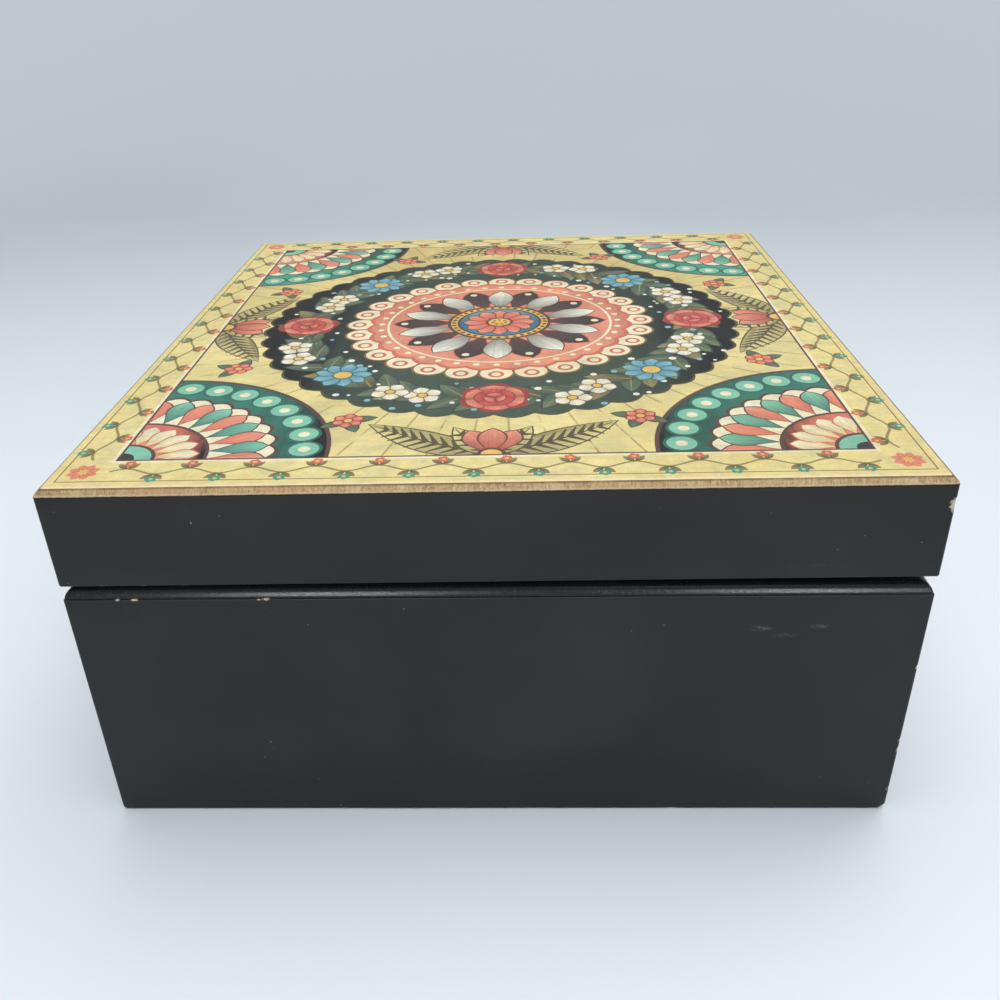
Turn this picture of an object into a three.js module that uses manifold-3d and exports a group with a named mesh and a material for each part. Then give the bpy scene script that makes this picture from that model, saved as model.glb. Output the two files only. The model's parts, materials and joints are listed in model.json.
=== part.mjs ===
// Musical jewellery box: a black wooden case with a hinged picture lid, a velvet-lined inside with
// two wells, and a key-wound cylinder-and-comb movement that stops when the lid is shut.
// Millimetres. X runs across the box, -Y is the side that opens, +Y the hinge side and +Z is up.
// The origin is on the table, under the middle of the box measured over its hinge knuckles.

import * as THREE from "three";
import { mergeVertices } from "three/addons/utils/BufferGeometryUtils.js";
import Module from "manifold-3d";

const wasm = await Module();
wasm.setup();

// Clearances
const glueGap = 0.02; // between faces that are glued or screwed together
const softGap = 0.3; // round velvet pieces and loose panels
const runGap = 0.12; // radial, a shaft in its bearing
const pressGap = 0.05; // radial, a wheel pressed on its arbor
const screwGap = 0.15; // radial, a screw in its hole
const endGap = 0.3; // axial, between a turning piece and its seat

// Case
const boxWidth = 162;
const boxDepth = 152;
const rimHeight = 53; // top of the base walls above the table
const boardThickness = 9;
const rimRound = 2.5; // round-over on the outer top edge of the base
const keyRecess = 13; // height of the floor's underside above the table
const floorThickness = 3;
const grooveDepth = 3; // groove in the base walls that holds the floor

// Lid
const lidWallHeight = 15.5;
const panelThickness = 3.5;
const panelChamfer = 1.1; // sanded bevel round the top of the lid
const pictureThickness = 0.3;
const frontGap = 0.8; // shadow gap between lid and base at the side that opens
const mirrorThickness = 2;
const mirrorWidth = 112;
const mirrorDepth = 102;
const mirrorLap = 4; // how far the surround laps over the mirror's edge
const surroundThickness = 3.6;

// Velvet fittings
const liningThickness = 1.5;
const liningDrop = 1; // lining top below the rim
const dividerThickness = 3;
const padThickness = 4;
const padCrown = 1.6;
const rollCount = 4;
const rollHeight = 20;

// Hinges
const hingeInset = 35; // middle of a hinge from the end of the box
const hingeLength = 24;
const leafThickness = 0.7;
const leafReach = 7.5; // leaf width on the rim
const leafGap = 0.3; // between the closed leaves
const knuckleRadius = 1.5;
const hingePinRadius = 0.7;
const pinHeadRadius = 1.1;
const pinHeadHeight = 0.5;
const knuckleGap = 0.2;
const hingeScrew = { headRadius: 1.4, headHeight: 0.5, shankRadius: 0.7, length: 6.5 };
const hingeScrewPitch = 14; // between the two screws of a leaf

// Movement: bedplate, spring barrel and cylinder
const bedThickness = 3;
const bedMargin = 1.2;
const bayMargin = 2; // bedplate to the walls of its bay
const barrelRadius = 12;
const barrelWall = 1.2;
const barrelFloor = 1.2;
const springWidth = 5.7;
const springThickness = 0.35;
const springTurns = 7;
const windingCoreRadius = 2.2;
const windingRadius = 1.5;
const crownFace = 2.4; // radial length of a crown tooth
const crownThickness = 1.1;
const crownTeeth = 24;
const pinionTeeth = 10;
const pinionFace = 1.2;
const toothAddendum = 0.8;
const toothDedendum = 1.1;
const crownBacklash = 0.5;
const meshGap = 0.1; // added between the axes of meshing wheels
const pressureAngle = THREE.MathUtils.degToRad(25);
const cylinderRadius = 6.5;
const cylinderLength = 20;
const arborRadius = 1;
const pegRadius = 0.24;
const pegHeight = 0.7;
const pegsPerTone = 3;
const lugThickness = 2.5;
const lugHalfWidth = 4;
const lugGap = 0.6;

// Movement: comb
const toneCount = 18;
const combThickness = 1;
const combBaseDepth = 6.5;
const longestTone = 9.5;
const shortestTone = 6;
const toneGap = 0.35;
const tipGap = 0.35; // between the pegs and the tips of the comb
const combScrew = { headRadius: 1.9, headHeight: 1.2, shankRadius: 1.1, length: 6 };

// Movement: governor
const driveTeeth = 30; // wheel on the cylinder that drives the governor
const governorTeeth = 10;
const governorModule = 0.5;
const governorFace = 1.5;
const fineAddendum = 0.42;
const fineDedendum = 0.6;
const fineBacklash = 0.3;
const wormWheelTeeth = 16;
const wormPitch = 1.8;
const wormCoreRadius = 0.95;
const wormThreadHeight = 1;
const wormThreadHalf = 4.5; // thread above and below the wheel's middle
const wormWheelFace = 1.4;
const cheekThickness = 2;
const pivotRadius = 0.8;
const bridgeThickness = 2;
const brakeRadius = 5.2;
const brakeThickness = 0.6;
const fanHeight = 2.8;
const fanThickness = 0.6;

// Stop work: a rod under the lid and a rocking lever under the brake disc
const stopRodRadius = 1.5;
const stopTravel = 2; // rise of the rod as the lid opens
const leverArm = 10; // pivot to rod
const leverTail = 1.25; // beyond the rod's middle
const leverThickness = 1.2;
const leverWidth = 1.4;
const guideThickness = 1.5;
const coverThickness = 2;
const stopSpringRadius = 1.7; // middle of the wire
const stopSpringWire = 0.25; // wire radius
const stopSpringTurns = 9;

// Winding key and the screws that hold the movement to the floor
const keySpan = 22;
const keyThickness = 1.6;
const keyHubRadius = 3;
const keyHubLength = 5.5;
const keyTableGap = 1.5; // key to table
const shaftHoleRadius = 3.4;
const floorScrew = { headRadius: 2.6, headHeight: 1.4, shankRadius: 1.2, length: 5.4 };

// Levels and places that follow from the sizes above
const floorTop = keyRecess + floorThickness;
const innerX = boxWidth / 2 - boardThickness;
const innerY = boxDepth / 2 - boardThickness;
const liningX = innerX - glueGap - liningThickness;
const liningY = innerY - glueGap - liningThickness;
const hingeY = boxDepth / 2 + knuckleRadius + knuckleGap;
const hingeZ = rimHeight + leafThickness + leafGap / 2;
const lidFloat = leafThickness + leafGap / 2; // lid's underside above the hinge axis
const lidTilt = Math.asin((2 * leafThickness + leafGap - frontGap) / (hingeY + boxDepth / 2));
const knuckleOverhang = hingeY + knuckleRadius - boxDepth / 2;

const barrelZ = bedThickness + endGap;
const springZ = barrelZ + barrelFloor + endGap;
const crownRootZ = springZ + springWidth + endGap + crownThickness;
const crownMiddle = barrelRadius - crownFace / 2;
const pinionPitchRadius = (crownMiddle * pinionTeeth) / crownTeeth;
const axisZ = crownRootZ + toothDedendum + pinionPitchRadius + meshGap;
const leftLugX = barrelRadius + lugGap;
const cylinderX = leftLugX + lugThickness + lugGap;
const rightLugX = cylinderX + cylinderLength + lugGap;
const driveX = rightLugX + lugThickness + lugGap;
const drivePitchRadius = (driveTeeth * governorModule) / 2;
const governorPitchRadius = (governorTeeth * governorModule) / 2;
const governorY = drivePitchRadius + governorPitchRadius + meshGap;
const wormWheelRadius = (wormWheelTeeth * wormPitch) / (2 * Math.PI);
const wormX = driveX - lugGap - wormWheelFace / 2;
const wormPitchRadius = wormCoreRadius + wormThreadHeight / 2;
const wormY = governorY + wormWheelRadius + wormPitchRadius + meshGap;
const innerCheekX = wormX - wormWheelFace / 2 - lugGap - wormPitchRadius - cheekThickness;
const outerCheekX = driveX + governorFace + lugGap;
const cheekFront = Math.max(drivePitchRadius, cylinderRadius + pegHeight) + endGap + fineAddendum;
const cheekBack = wormY + wormPitchRadius + lugGap;
const bridgeZ = axisZ + Math.max(wormWheelRadius, drivePitchRadius) + lugGap;
const brakeZ = bridgeZ + bridgeThickness + endGap;
const leverY = (cheekBack + wormY + brakeRadius) / 2 + pressGap;
const leverTopZ = brakeZ - endGap;
const leverPivotX = innerCheekX - lugGap - leverArm / 4;
const leverPivotZ = leverTopZ - leverThickness / 2;
const rodX = leverPivotX - leverArm;
const postFront = leverY + leverWidth / 2 + endGap;
const postBack = postFront + lugThickness;
const leverRise = (stopTravel * (leverArm + leverTail)) / leverArm;
const guideZ = leverTopZ + leverRise + endGap;
const coverZ = guideZ + guideThickness + softGap;
const dividerHeight = coverZ - glueGap;
const springSpigotTop = bedThickness + 2 * stopSpringRadius;
const combTipY = -(cylinderRadius + pegHeight + tipGap);
const combBaseY = combTipY - longestTone;
const combZ = axisZ + combThickness / 2;
const bedLeft = -(barrelRadius + bedMargin);
const bedRight = outerCheekX + cheekThickness + bedMargin;
const bedFront = combBaseY - combBaseDepth - bedMargin;
const bedBack = postBack + bedMargin;

const bayRight = liningX;
const bayBack = liningY;
const movementX = bayRight - bayMargin - bedRight;
const movementY = bayBack - bayMargin - bedBack;
const bayLeft = movementX + bedLeft - bayMargin;
const bayFront = movementY + bedFront - bayMargin;

// Materials
const blackPaint = new THREE.MeshStandardMaterial({ color: "#232427", roughness: 0.45 });
const bareWood = new THREE.MeshStandardMaterial({ color: "#a9764a", roughness: 0.8 });
const plywood = new THREE.MeshStandardMaterial({ color: "#8d6a47", roughness: 0.85 });
const printedPaper = new THREE.MeshStandardMaterial({ color: "#c9b26a", roughness: 0.4 });
const velvet = new THREE.MeshStandardMaterial({ color: "#6e1f2b", roughness: 1 });
const mirrorGlass = new THREE.MeshStandardMaterial({ color: "#d9dee0", roughness: 0.03, metalness: 1 });
const clearPlastic = new THREE.MeshStandardMaterial({ color: "#e8eef0", roughness: 0.1 });
const brass = new THREE.MeshStandardMaterial({ color: "#b8924a", roughness: 0.35, metalness: 1 });
const steel = new THREE.MeshStandardMaterial({ color: "#a7a9ab", roughness: 0.35, metalness: 1 });
const castZinc = new THREE.MeshStandardMaterial({ color: "#8f9092", roughness: 0.55, metalness: 1 });
const nylon = new THREE.MeshStandardMaterial({ color: "#e9e4d6", roughness: 0.6 });

// Geometry helpers

function solidOf(geometry) {
  const bare = geometry.clone();
  bare.deleteAttribute("normal");
  bare.deleteAttribute("uv");
  const merged = mergeVertices(bare, 1e-4);
  const vertProperties = merged.attributes.position.array;
  const triVerts = new Uint32Array(merged.index.array);
  return new wasm.Manifold(new wasm.Mesh({ numProp: 3, vertProperties, triVerts }));
}

function geometryOf(solid) {
  const mesh = solid.getMesh();
  const geometry = new THREE.BufferGeometry();
  geometry.setAttribute("position", new THREE.BufferAttribute(mesh.vertProperties, 3));
  geometry.setIndex(new THREE.BufferAttribute(mesh.triVerts, 1));
  return geometry;
}

function joined(...geometries) {
  return geometryOf(geometries.map(solidOf).reduce((sum, next) => sum.add(next)));
}

function carved(geometry, ...tools) {
  return geometryOf(tools.map(solidOf).reduce((rest, tool) => rest.subtract(tool), solidOf(geometry)));
}

function block([x0, x1], [y0, y1], [z0, z1]) {
  const geometry = new THREE.BoxGeometry(x1 - x0, y1 - y0, z1 - z0);
  return geometry.translate((x0 + x1) / 2, (y0 + y1) / 2, (z0 + z1) / 2);
}

// A round bar between two points.
function bar(radius, from, to, sides = 16) {
  const start = new THREE.Vector3(...from);
  const end = new THREE.Vector3(...to);
  const along = end.clone().sub(start);
  const geometry = new THREE.CylinderGeometry(radius, radius, along.length(), sides);
  const turn = new THREE.Quaternion().setFromUnitVectors(
    new THREE.Vector3(0, 1, 0),
    along.clone().normalize(),
  );
  const middle = start.add(end).multiplyScalar(0.5);
  return geometry.applyQuaternion(turn).translate(middle.x, middle.y, middle.z);
}

// A solid turned about Z from a profile of [radius, height] points that goes round counterclockwise.
function turned(profile, sides = 24) {
  const points = profile.map(([r, z]) => new THREE.Vector2(r, z));
  const closesOnAxis = profile[0][0] === 0 && profile[profile.length - 1][0] === 0;
  if (!closesOnAxis) points.push(points[0].clone());
  return new THREE.LatheGeometry(points, sides).rotateX(Math.PI / 2);
}

function polygon(points) {
  return new THREE.Shape(points.map(([x, y]) => new THREE.Vector2(x, y)));
}

function roundHole(shape, x, y, radius, sides = 16) {
  const hole = new THREE.Path();
  for (let i = 0; i < sides; i++) {
    const angle = (-2 * Math.PI * i) / sides;
    const at = [x + radius * Math.cos(angle), y + radius * Math.sin(angle)];
    if (i === 0) hole.moveTo(...at);
    else hole.lineTo(...at);
  }
  hole.closePath();
  shape.holes.push(hole);
}

function extruded(shape, depth, curveSegments = 8) {
  return new THREE.ExtrudeGeometry(shape, { depth, bevelEnabled: false, curveSegments });
}

// A plate of the given outline, drawn in the YZ plane, standing from x to x + thickness.
function plateAcrossX(shape, x, thickness) {
  const swap = new THREE.Matrix4().set(0, 0, 1, x, 1, 0, 0, 0, 0, 1, 0, 0, 0, 0, 0, 1);
  return extruded(shape, thickness).applyMatrix4(swap);
}

// A stack of rectangles, each given as half width, half depth and height.
function rectangleLoft(levels) {
  const corners = [[-1, -1], [1, -1], [1, 1], [-1, 1]];
  const position = levels.flatMap(([hx, hy, z]) => corners.flatMap(([sx, sy]) => [sx * hx, sy * hy, z]));
  const index = [0, 2, 1, 0, 3, 2];
  for (let level = 0; level + 1 < levels.length; level++) {
    for (let side = 0; side < 4; side++) {
      const a = level * 4 + side;
      const b = level * 4 + ((side + 1) % 4);
      index.push(a, b, b + 4, a, b + 4, a + 4);
    }
  }
  const top = (levels.length - 1) * 4;
  index.push(top, top + 1, top + 2, top, top + 2, top + 3);
  const geometry = new THREE.BufferGeometry();
  geometry.setAttribute("position", new THREE.Float32BufferAttribute(position, 3));
  return geometry.setIndex(index);
}

// Outline of a spur wheel with involute flanks; its first tooth points along the angle given.
function wheelOutline({ teeth, pitchRadius, addendum, dedendum, backlash, firstTooth = 0 }) {
  const baseRadius = pitchRadius * Math.cos(pressureAngle);
  const involute = (angle) => Math.tan(angle) - angle;
  const halfPitchAngle = Math.PI / (2 * teeth) - backlash / (4 * pitchRadius);
  const halfAngleAt = (radius) => {
    const at = Math.acos(Math.min(1, baseRadius / Math.max(radius, baseRadius)));
    return halfPitchAngle + involute(pressureAngle) - involute(at);
  };
  const rootRadius = pitchRadius - dedendum;
  const radii = [rootRadius, Math.max(baseRadius, rootRadius + 0.05), pitchRadius, pitchRadius + addendum];
  const points = [];
  for (let tooth = 0; tooth < teeth; tooth++) {
    const middle = firstTooth + (2 * Math.PI * tooth) / teeth;
    for (const radius of radii) {
      const angle = middle - halfAngleAt(radius);
      points.push([radius * Math.cos(angle), radius * Math.sin(angle)]);
    }
    for (const radius of [...radii].reverse()) {
      const angle = middle + halfAngleAt(radius);
      points.push([radius * Math.cos(angle), radius * Math.sin(angle)]);
    }
  }
  return polygon(points);
}

// A slotted screw whose head sits below z = 0 and whose shank goes up, as seen from under a floor.
function screwGeometry({ headRadius, headHeight, shankRadius, length }, countersunk = false) {
  const rimRadius = countersunk ? shankRadius : headRadius;
  const profile = [
    [0, -headHeight],
    [headRadius, -headHeight],
    [rimRadius, 0],
    [shankRadius, 0],
    [shankRadius, length - shankRadius],
    [0, length],
  ];
  const outline = countersunk ? profile.filter((point, i) => i !== 3) : profile;
  const slotHalf = headRadius / 6;
  const slotDepth = headHeight / 2;
  const slot = block(
    [-headRadius - 1, headRadius + 1],
    [-slotHalf, slotHalf],
    [-headHeight - 1, -headHeight + slotDepth],
  );
  return carved(turned(outline, 14), slot);
}

// The hole that such a screw needs in the pieces that it holds.
function screwHole({ headRadius, headHeight, shankRadius, length }, countersunk = false) {
  const shank = bar(shankRadius + screwGap, [0, 0, -headHeight - 1], [0, 0, length + screwGap], 14);
  if (!countersunk) return shank;
  const sink = turned(
    [
      [0, -headHeight - 1],
      [headRadius + screwGap, -headHeight - 1],
      [headRadius + screwGap, -headHeight],
      [shankRadius + screwGap, screwGap],
      [0, screwGap],
    ],
    14,
  );
  return joined(shank, sink);
}

function piece(name, geometry, material, parent, place = [0, 0, 0], turnZ = 0) {
  const mesh = new THREE.Mesh(geometry, material);
  mesh.name = name;
  mesh.position.set(...place);
  mesh.rotation.z = turnZ;
  parent.add(mesh);
  return mesh;
}

function group(parent, place = [0, 0, 0]) {
  const made = new THREE.Group();
  made.position.set(...place);
  parent.add(made);
  return made;
}

// Assembly

const musicBox = new THREE.Group();
const box = group(musicBox, [0, -knuckleOverhang / 2, 0]);
const hingeAxis = group(box, [0, hingeY, hingeZ]);
hingeAxis.rotation.x = lidTilt;
const lid = group(hingeAxis, [0, -hingeY, lidFloat]);
const movement = group(box, [movementX, movementY, floorTop]);

const sides = [
  { name: "front", length: boxWidth, offset: boxDepth / 2, turn: 0 },
  { name: "right", length: boxDepth, offset: boxWidth / 2, turn: Math.PI / 2 },
  { name: "back", length: boxWidth, offset: boxDepth / 2, turn: Math.PI },
  { name: "left", length: boxDepth, offset: boxWidth / 2, turn: -Math.PI / 2 },
];
const hinges = [
  { name: "left", x: hingeInset - boxWidth / 2 },
  { name: "right", x: boxWidth / 2 - hingeInset },
];
const leafScrewXs = [-hingeScrewPitch / 2, hingeScrewPitch / 2];
const leafScrewY = boxDepth / 2 - leafReach / 2 - leafThickness;
const headSeat = leafThickness - hingeScrew.headHeight; // from the board to the foot of a sunk head

// A board with mitred ends. The profile gives depth inward from the outer face, then height.
function mitredBoard(profile, length, offset) {
  const geometry = extruded(profile, 1);
  const position = geometry.attributes.position;
  for (let i = 0; i < position.count; i++) {
    const inward = position.getX(i);
    const height = position.getY(i);
    const end = 2 * position.getZ(i) - 1;
    position.setXYZ(i, end * (length / 2 - inward - glueGap), inward - offset, height);
  }
  return geometry;
}

// Base walls: mitred boards, rounded over at the rim and grooved for the floor.
function baseWallProfile() {
  const profile = new THREE.Shape();
  profile.moveTo(0, 0);
  profile.lineTo(boardThickness, 0);
  profile.lineTo(boardThickness, keyRecess - screwGap);
  profile.lineTo(boardThickness - grooveDepth, keyRecess - screwGap);
  profile.lineTo(boardThickness - grooveDepth, floorTop + screwGap);
  profile.lineTo(boardThickness, floorTop + screwGap);
  profile.lineTo(boardThickness, rimHeight);
  profile.lineTo(rimRound, rimHeight);
  profile.absarc(rimRound, rimHeight - rimRound, rimRound, Math.PI / 2, Math.PI, false);
  profile.closePath();
  return profile;
}

function addBaseWalls() {
  for (const side of sides) {
    let geometry = mitredBoard(baseWallProfile(), side.length, side.offset);
    if (side.name === "back") {
      const holes = hinges.flatMap((hinge) => leafScrewXs.map((x) => {
        const hole = screwHole(hingeScrew).rotateX(Math.PI);
        return hole.translate(hinge.x + x, -leafScrewY, rimHeight + headSeat);
      }));
      geometry = carved(geometry, ...holes);
    }
    piece(`base_${side.name}_wall`, geometry, blackPaint, box, [0, 0, 0], side.turn);
  }
}

// Floor panel, held in the wall grooves, with holes for the winding shaft and three screws.
const bedScrewXs = bedLeft + 2.5 * floorScrew.headRadius;
const bedScrewPlaces = [
  [bedScrewXs, bedFront + 2 * floorScrew.headRadius],
  [bedRight - 2 * floorScrew.headRadius, bedFront + 2 * floorScrew.headRadius],
  [bedScrewXs, bedBack - 2 * floorScrew.headRadius],
];

function addFloor() {
  const halfX = innerX + grooveDepth - softGap;
  const halfY = innerY + grooveDepth - softGap;
  const panel = block([-halfX, halfX], [-halfY, halfY], [keyRecess, floorTop]);
  const shaftHole = bar(
    shaftHoleRadius,
    [movementX, movementY, keyRecess - 1],
    [movementX, movementY, floorTop + 1],
    24,
  );
  const holes = bedScrewPlaces.map(([x, y]) =>
    screwHole(floorScrew).translate(movementX + x, movementY + y, keyRecess),
  );
  piece("base_floor", carved(panel, shaftHole, ...holes), plywood, box);
}

// Velvet lining strips against the four walls.
function addLinings() {
  const heights = [floorTop + glueGap, rimHeight - liningDrop];
  const outerX = innerX - glueGap;
  const outerY = innerY - glueGap;
  const sideHalf = liningY - glueGap;
  piece("lining_front", block([-outerX, outerX], [-outerY, -liningY], heights), velvet, box);
  piece("lining_back", block([-outerX, outerX], [liningY, outerY], heights), velvet, box);
  piece("lining_left", block([-outerX, -liningX], [-sideHalf, sideHalf], heights), velvet, box);
  piece("lining_right", block([liningX, outerX], [-sideHalf, sideHalf], heights), velvet, box);
}

// Dividers: one across the box, and one that closes off the movement's bay.
function addDividers() {
  const heights = [floorTop + glueGap, floorTop + dividerHeight];
  const across = block(
    [-liningX + softGap, liningX - softGap],
    [bayFront - dividerThickness, bayFront],
    heights,
  );
  const short = block(
    [bayLeft - dividerThickness, bayLeft],
    [bayFront + glueGap, liningY - softGap],
    heights,
  );
  piece("long_divider", across, velvet, box);
  piece("bay_divider", short, velvet, box);
}

// Padded floor of the front well: a low crown that dies away at the edges.
function addWellPad() {
  const halfX = liningX - softGap;
  const front = -liningY + softGap;
  const back = bayFront - dividerThickness - softGap;
  const halfY = (back - front) / 2;
  const geometry = new THREE.BoxGeometry(2 * halfX, 2 * halfY, padThickness, 10, 8, 1);
  const position = geometry.attributes.position;
  for (let i = 0; i < position.count; i++) {
    if (position.getZ(i) <= 0) continue;
    const x = position.getX(i) / halfX;
    const y = position.getY(i) / halfY;
    position.setZ(i, position.getZ(i) + padCrown * (1 - x ** 4) * (1 - y ** 4));
  }
  const middle = floorTop + glueGap + padThickness / 2;
  piece("well_pad", geometry, velvet, box, [0, (front + back) / 2, middle]);
}

// Ring rolls side by side in the back well; rings are pressed in between them.
function addRingRolls() {
  const left = -liningX + softGap;
  const right = bayLeft - dividerThickness - softGap;
  const front = bayFront + softGap;
  const pitch = (liningY - softGap - front) / rollCount;
  const radius = (pitch - softGap) / 2;
  for (let i = 0; i < rollCount; i++) {
    const outline = new THREE.Shape();
    outline.moveTo(-radius, 0);
    outline.lineTo(radius, 0);
    outline.lineTo(radius, rollHeight - radius);
    outline.absarc(0, rollHeight - radius, radius, 0, Math.PI, false);
    outline.closePath();
    const geometry = plateAcrossX(outline, left, right - left);
    const y = front + pitch * (i + 0.5);
    piece(`ring_roll_${i + 1}`, geometry, velvet, box, [0, y, floorTop + glueGap]);
  }
}

// Clear cover over the movement, lying on the two dividers, with a hole for the stop rod.
function addMovementCover() {
  const z = floorTop + coverZ;
  const sheet = block(
    [bayLeft - dividerThickness, liningX - softGap],
    [bayFront - dividerThickness, liningY - softGap],
    [z, z + coverThickness],
  );
  const x = movementX + rodX;
  const y = movementY + leverY;
  const hole = bar(stopRodRadius + runGap, [x, y, z - 1], [x, y, z + coverThickness + 1]);
  piece("movement_cover", carved(sheet, hole), clearPlastic, box);
}

// Lid: four mitred walls, a top panel with a sanded bevel, and the picture sheet on it.
function addLid() {
  const profile = polygon([
    [0, 0],
    [boardThickness, 0],
    [boardThickness, lidWallHeight],
    [0, lidWallHeight],
  ]);
  for (const side of sides) {
    let geometry = mitredBoard(profile, side.length, side.offset);
    if (side.name === "back") {
      const holes = hinges.flatMap((hinge) => leafScrewXs.map((x) =>
        screwHole(hingeScrew).translate(hinge.x + x, -leafScrewY, -headSeat),
      ));
      geometry = carved(geometry, ...holes);
    }
    piece(`lid_${side.name}_wall`, geometry, blackPaint, lid, [0, 0, 0], side.turn);
  }
  const halfX = boxWidth / 2;
  const halfY = boxDepth / 2;
  const panelTop = lidWallHeight + panelThickness;
  const panel = rectangleLoft([
    [halfX, halfY, lidWallHeight + glueGap],
    [halfX, halfY, panelTop - panelChamfer],
    [halfX - panelChamfer, halfY - panelChamfer, panelTop],
  ]);
  piece("lid_top_panel", panel, bareWood, lid);
  const pictureX = halfX - panelChamfer;
  const pictureY = halfY - panelChamfer;
  const picture = rectangleLoft([
    [pictureX, pictureY, panelTop + glueGap],
    [pictureX - pictureThickness, pictureY - pictureThickness, panelTop + pictureThickness],
  ]);
  piece("lid_picture", picture, printedPaper, lid);
}

// Mirror inside the lid, and the velvet surround that laps over its edge.
function addMirror() {
  const top = lidWallHeight;
  const halfX = mirrorWidth / 2;
  const halfY = mirrorDepth / 2;
  const glass = block([-halfX, halfX], [-halfY, halfY], [top - mirrorThickness, top]);
  piece("lid_mirror", glass, mirrorGlass, lid);
  const outerX = innerX - softGap;
  const outerY = innerY - softGap;
  const bottom = top - surroundThickness;
  const card = block([-outerX, outerX], [-outerY, outerY], [bottom, top]);
  const pocket = block(
    [-halfX - softGap, halfX + softGap],
    [-halfY - softGap, halfY + softGap],
    [top - mirrorThickness - softGap, top + 1],
  );
  const windowX = halfX - mirrorLap;
  const windowY = halfY - mirrorLap;
  const opening = block([-windowX, windowX], [-windowY, windowY], [bottom - 1, top + 1]);
  piece("mirror_surround", carved(card, pocket, opening), velvet, lid);
}

// One leaf of a butt hinge about the hinge axis, with the leaf on the side up (1) or down (-1).
function hingeLeaf(knuckles, up) {
  const under = leafGap / 2;
  const heights = up > 0 ? [under, lidFloat - glueGap] : [glueGap - lidFloat, -under];
  const half = hingeLength / 2;
  const edge = boxDepth / 2 - hingeY;
  const plate = block([-half, half], [edge - leafReach, edge], heights);
  const tubes = knuckles.flatMap(([from, to]) => [
    block([from, to], [edge - knuckleGap, 0], heights),
    bar(knuckleRadius, [from, 0, 0], [to, 0, 0]),
  ]);
  const bore = bar(hingePinRadius + runGap, [-half - 1, 0, 0], [half + 1, 0, 0]);
  const sinks = leafScrewXs.map((x) => {
    const sink = screwHole(hingeScrew, true);
    if (up < 0) sink.rotateX(Math.PI);
    return sink.translate(x, leafScrewY - hingeY, up * (lidFloat - headSeat));
  });
  return carved(joined(plate, ...tubes), bore, ...sinks);
}

function addHinges() {
  const half = hingeLength / 2;
  const third = (hingeLength - 2 * knuckleGap) / 3;
  const outerKnuckles = [[-half, third - half], [half - third, half]];
  const middleKnuckle = [[-third / 2, third / 2]];
  const pinEnd = half + glueGap;
  const pinProfile = [
    [0, -pinEnd - pinHeadHeight],
    [pinHeadRadius, -pinEnd - pinHeadHeight],
    [pinHeadRadius, -pinEnd],
    [hingePinRadius, -pinEnd],
    [hingePinRadius, pinEnd],
    [pinHeadRadius, pinEnd],
    [pinHeadRadius, pinEnd + pinHeadHeight],
    [0, pinEnd + pinHeadHeight],
  ];
  const headLevel = lidFloat - headSeat;
  for (const hinge of hinges) {
    const name = `hinge_${hinge.name}`;
    const onBase = group(box, [hinge.x, hingeY, hingeZ]);
    const onLid = group(hingeAxis, [hinge.x, 0, 0]);
    piece(`${name}_base_leaf`, hingeLeaf(outerKnuckles, -1), brass, onBase);
    piece(`${name}_lid_leaf`, hingeLeaf(middleKnuckle, 1), brass, onLid);
    piece(`${name}_pin`, turned(pinProfile, 16).rotateY(Math.PI / 2), brass, onBase);
    leafScrewXs.forEach((x, i) => {
      const place = [x, leafScrewY - hingeY];
      const down = screwGeometry(hingeScrew, true).rotateX(Math.PI);
      const upward = screwGeometry(hingeScrew, true);
      piece(`${name}_base_screw_${i + 1}`, down, brass, onBase, [...place, -headLevel]);
      piece(`${name}_lid_screw_${i + 1}`, upward, brass, onLid, [...place, headLevel]);
    });
  }
}

// Bedplate: a cast plate with bearings for the cylinder, a seat for the comb, and the post that
// carries the stop lever and guides the stop rod.
function addBedplate() {
  const lugTop = axisZ + lugHalfWidth / 2;
  const lug = (x) => block([x, x + lugThickness], [-lugHalfWidth, lugHalfWidth], [0, lugTop]);
  const combHalf = cylinderLength / 2;
  const combMiddle = cylinderX + combHalf;
  const seat = block(
    [combMiddle - combHalf, combMiddle + combHalf],
    [combBaseY - combBaseDepth, combBaseY],
    [0, combZ - glueGap],
  );
  const postX = [leverPivotX - lugThickness / 2, leverPivotX + lugThickness / 2];
  const post = block(postX, [postFront, postBack], [0, guideZ + guideThickness]);
  const guide = block(
    [rodX - stopRodRadius - lugGap, postX[1]],
    [leverY - stopRodRadius - lugGap, postBack],
    [guideZ, guideZ + guideThickness],
  );
  const body = joined(
    block([bedLeft, bedRight], [bedFront, bedBack], [0, bedThickness]),
    lug(leftLugX),
    lug(rightLugX),
    seat,
    post,
    guide,
    bar(stopSpringRadius - stopSpringWire - screwGap, [rodX, leverY, 0], [rodX, leverY, springSpigotTop]),
  );
  const pivotAt = (y) => [leverPivotX, y, leverPivotZ];
  const guideTop = guideZ + guideThickness;
  const tools = [
    bar(windingRadius + runGap, [0, 0, -1], [0, 0, bedThickness + 1]),
    bar(arborRadius + runGap, [leftLugX - 1, 0, axisZ], [rightLugX + lugThickness + 1, 0, axisZ]),
    bar(pivotRadius + runGap, pivotAt(postFront - 1), pivotAt(postBack + 1)),
    bar(stopRodRadius + runGap, [rodX, leverY, guideZ - 1], [rodX, leverY, guideTop + 1]),
    ...bedScrewPlaces.map(([x, y]) => screwHole(floorScrew).translate(x, y, -floorThickness)),
    ...combScrewPlaces().map(([x, y]) => combScrewHole().translate(x, y, combZ + combThickness)),
  ];
  piece("movement_bedplate", carved(body, ...tools), castZinc, movement);
}

// Comb: a steel plate with one tooth for each tone, cut shorter towards the treble.
function combScrewPlaces() {
  const y = combBaseY - combBaseDepth / 2;
  return [cylinderX + cylinderLength / 4, cylinderX + (3 * cylinderLength) / 4].map((x) => [x, y]);
}

function combScrewHole() {
  return screwHole(combScrew).rotateX(Math.PI);
}

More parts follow.
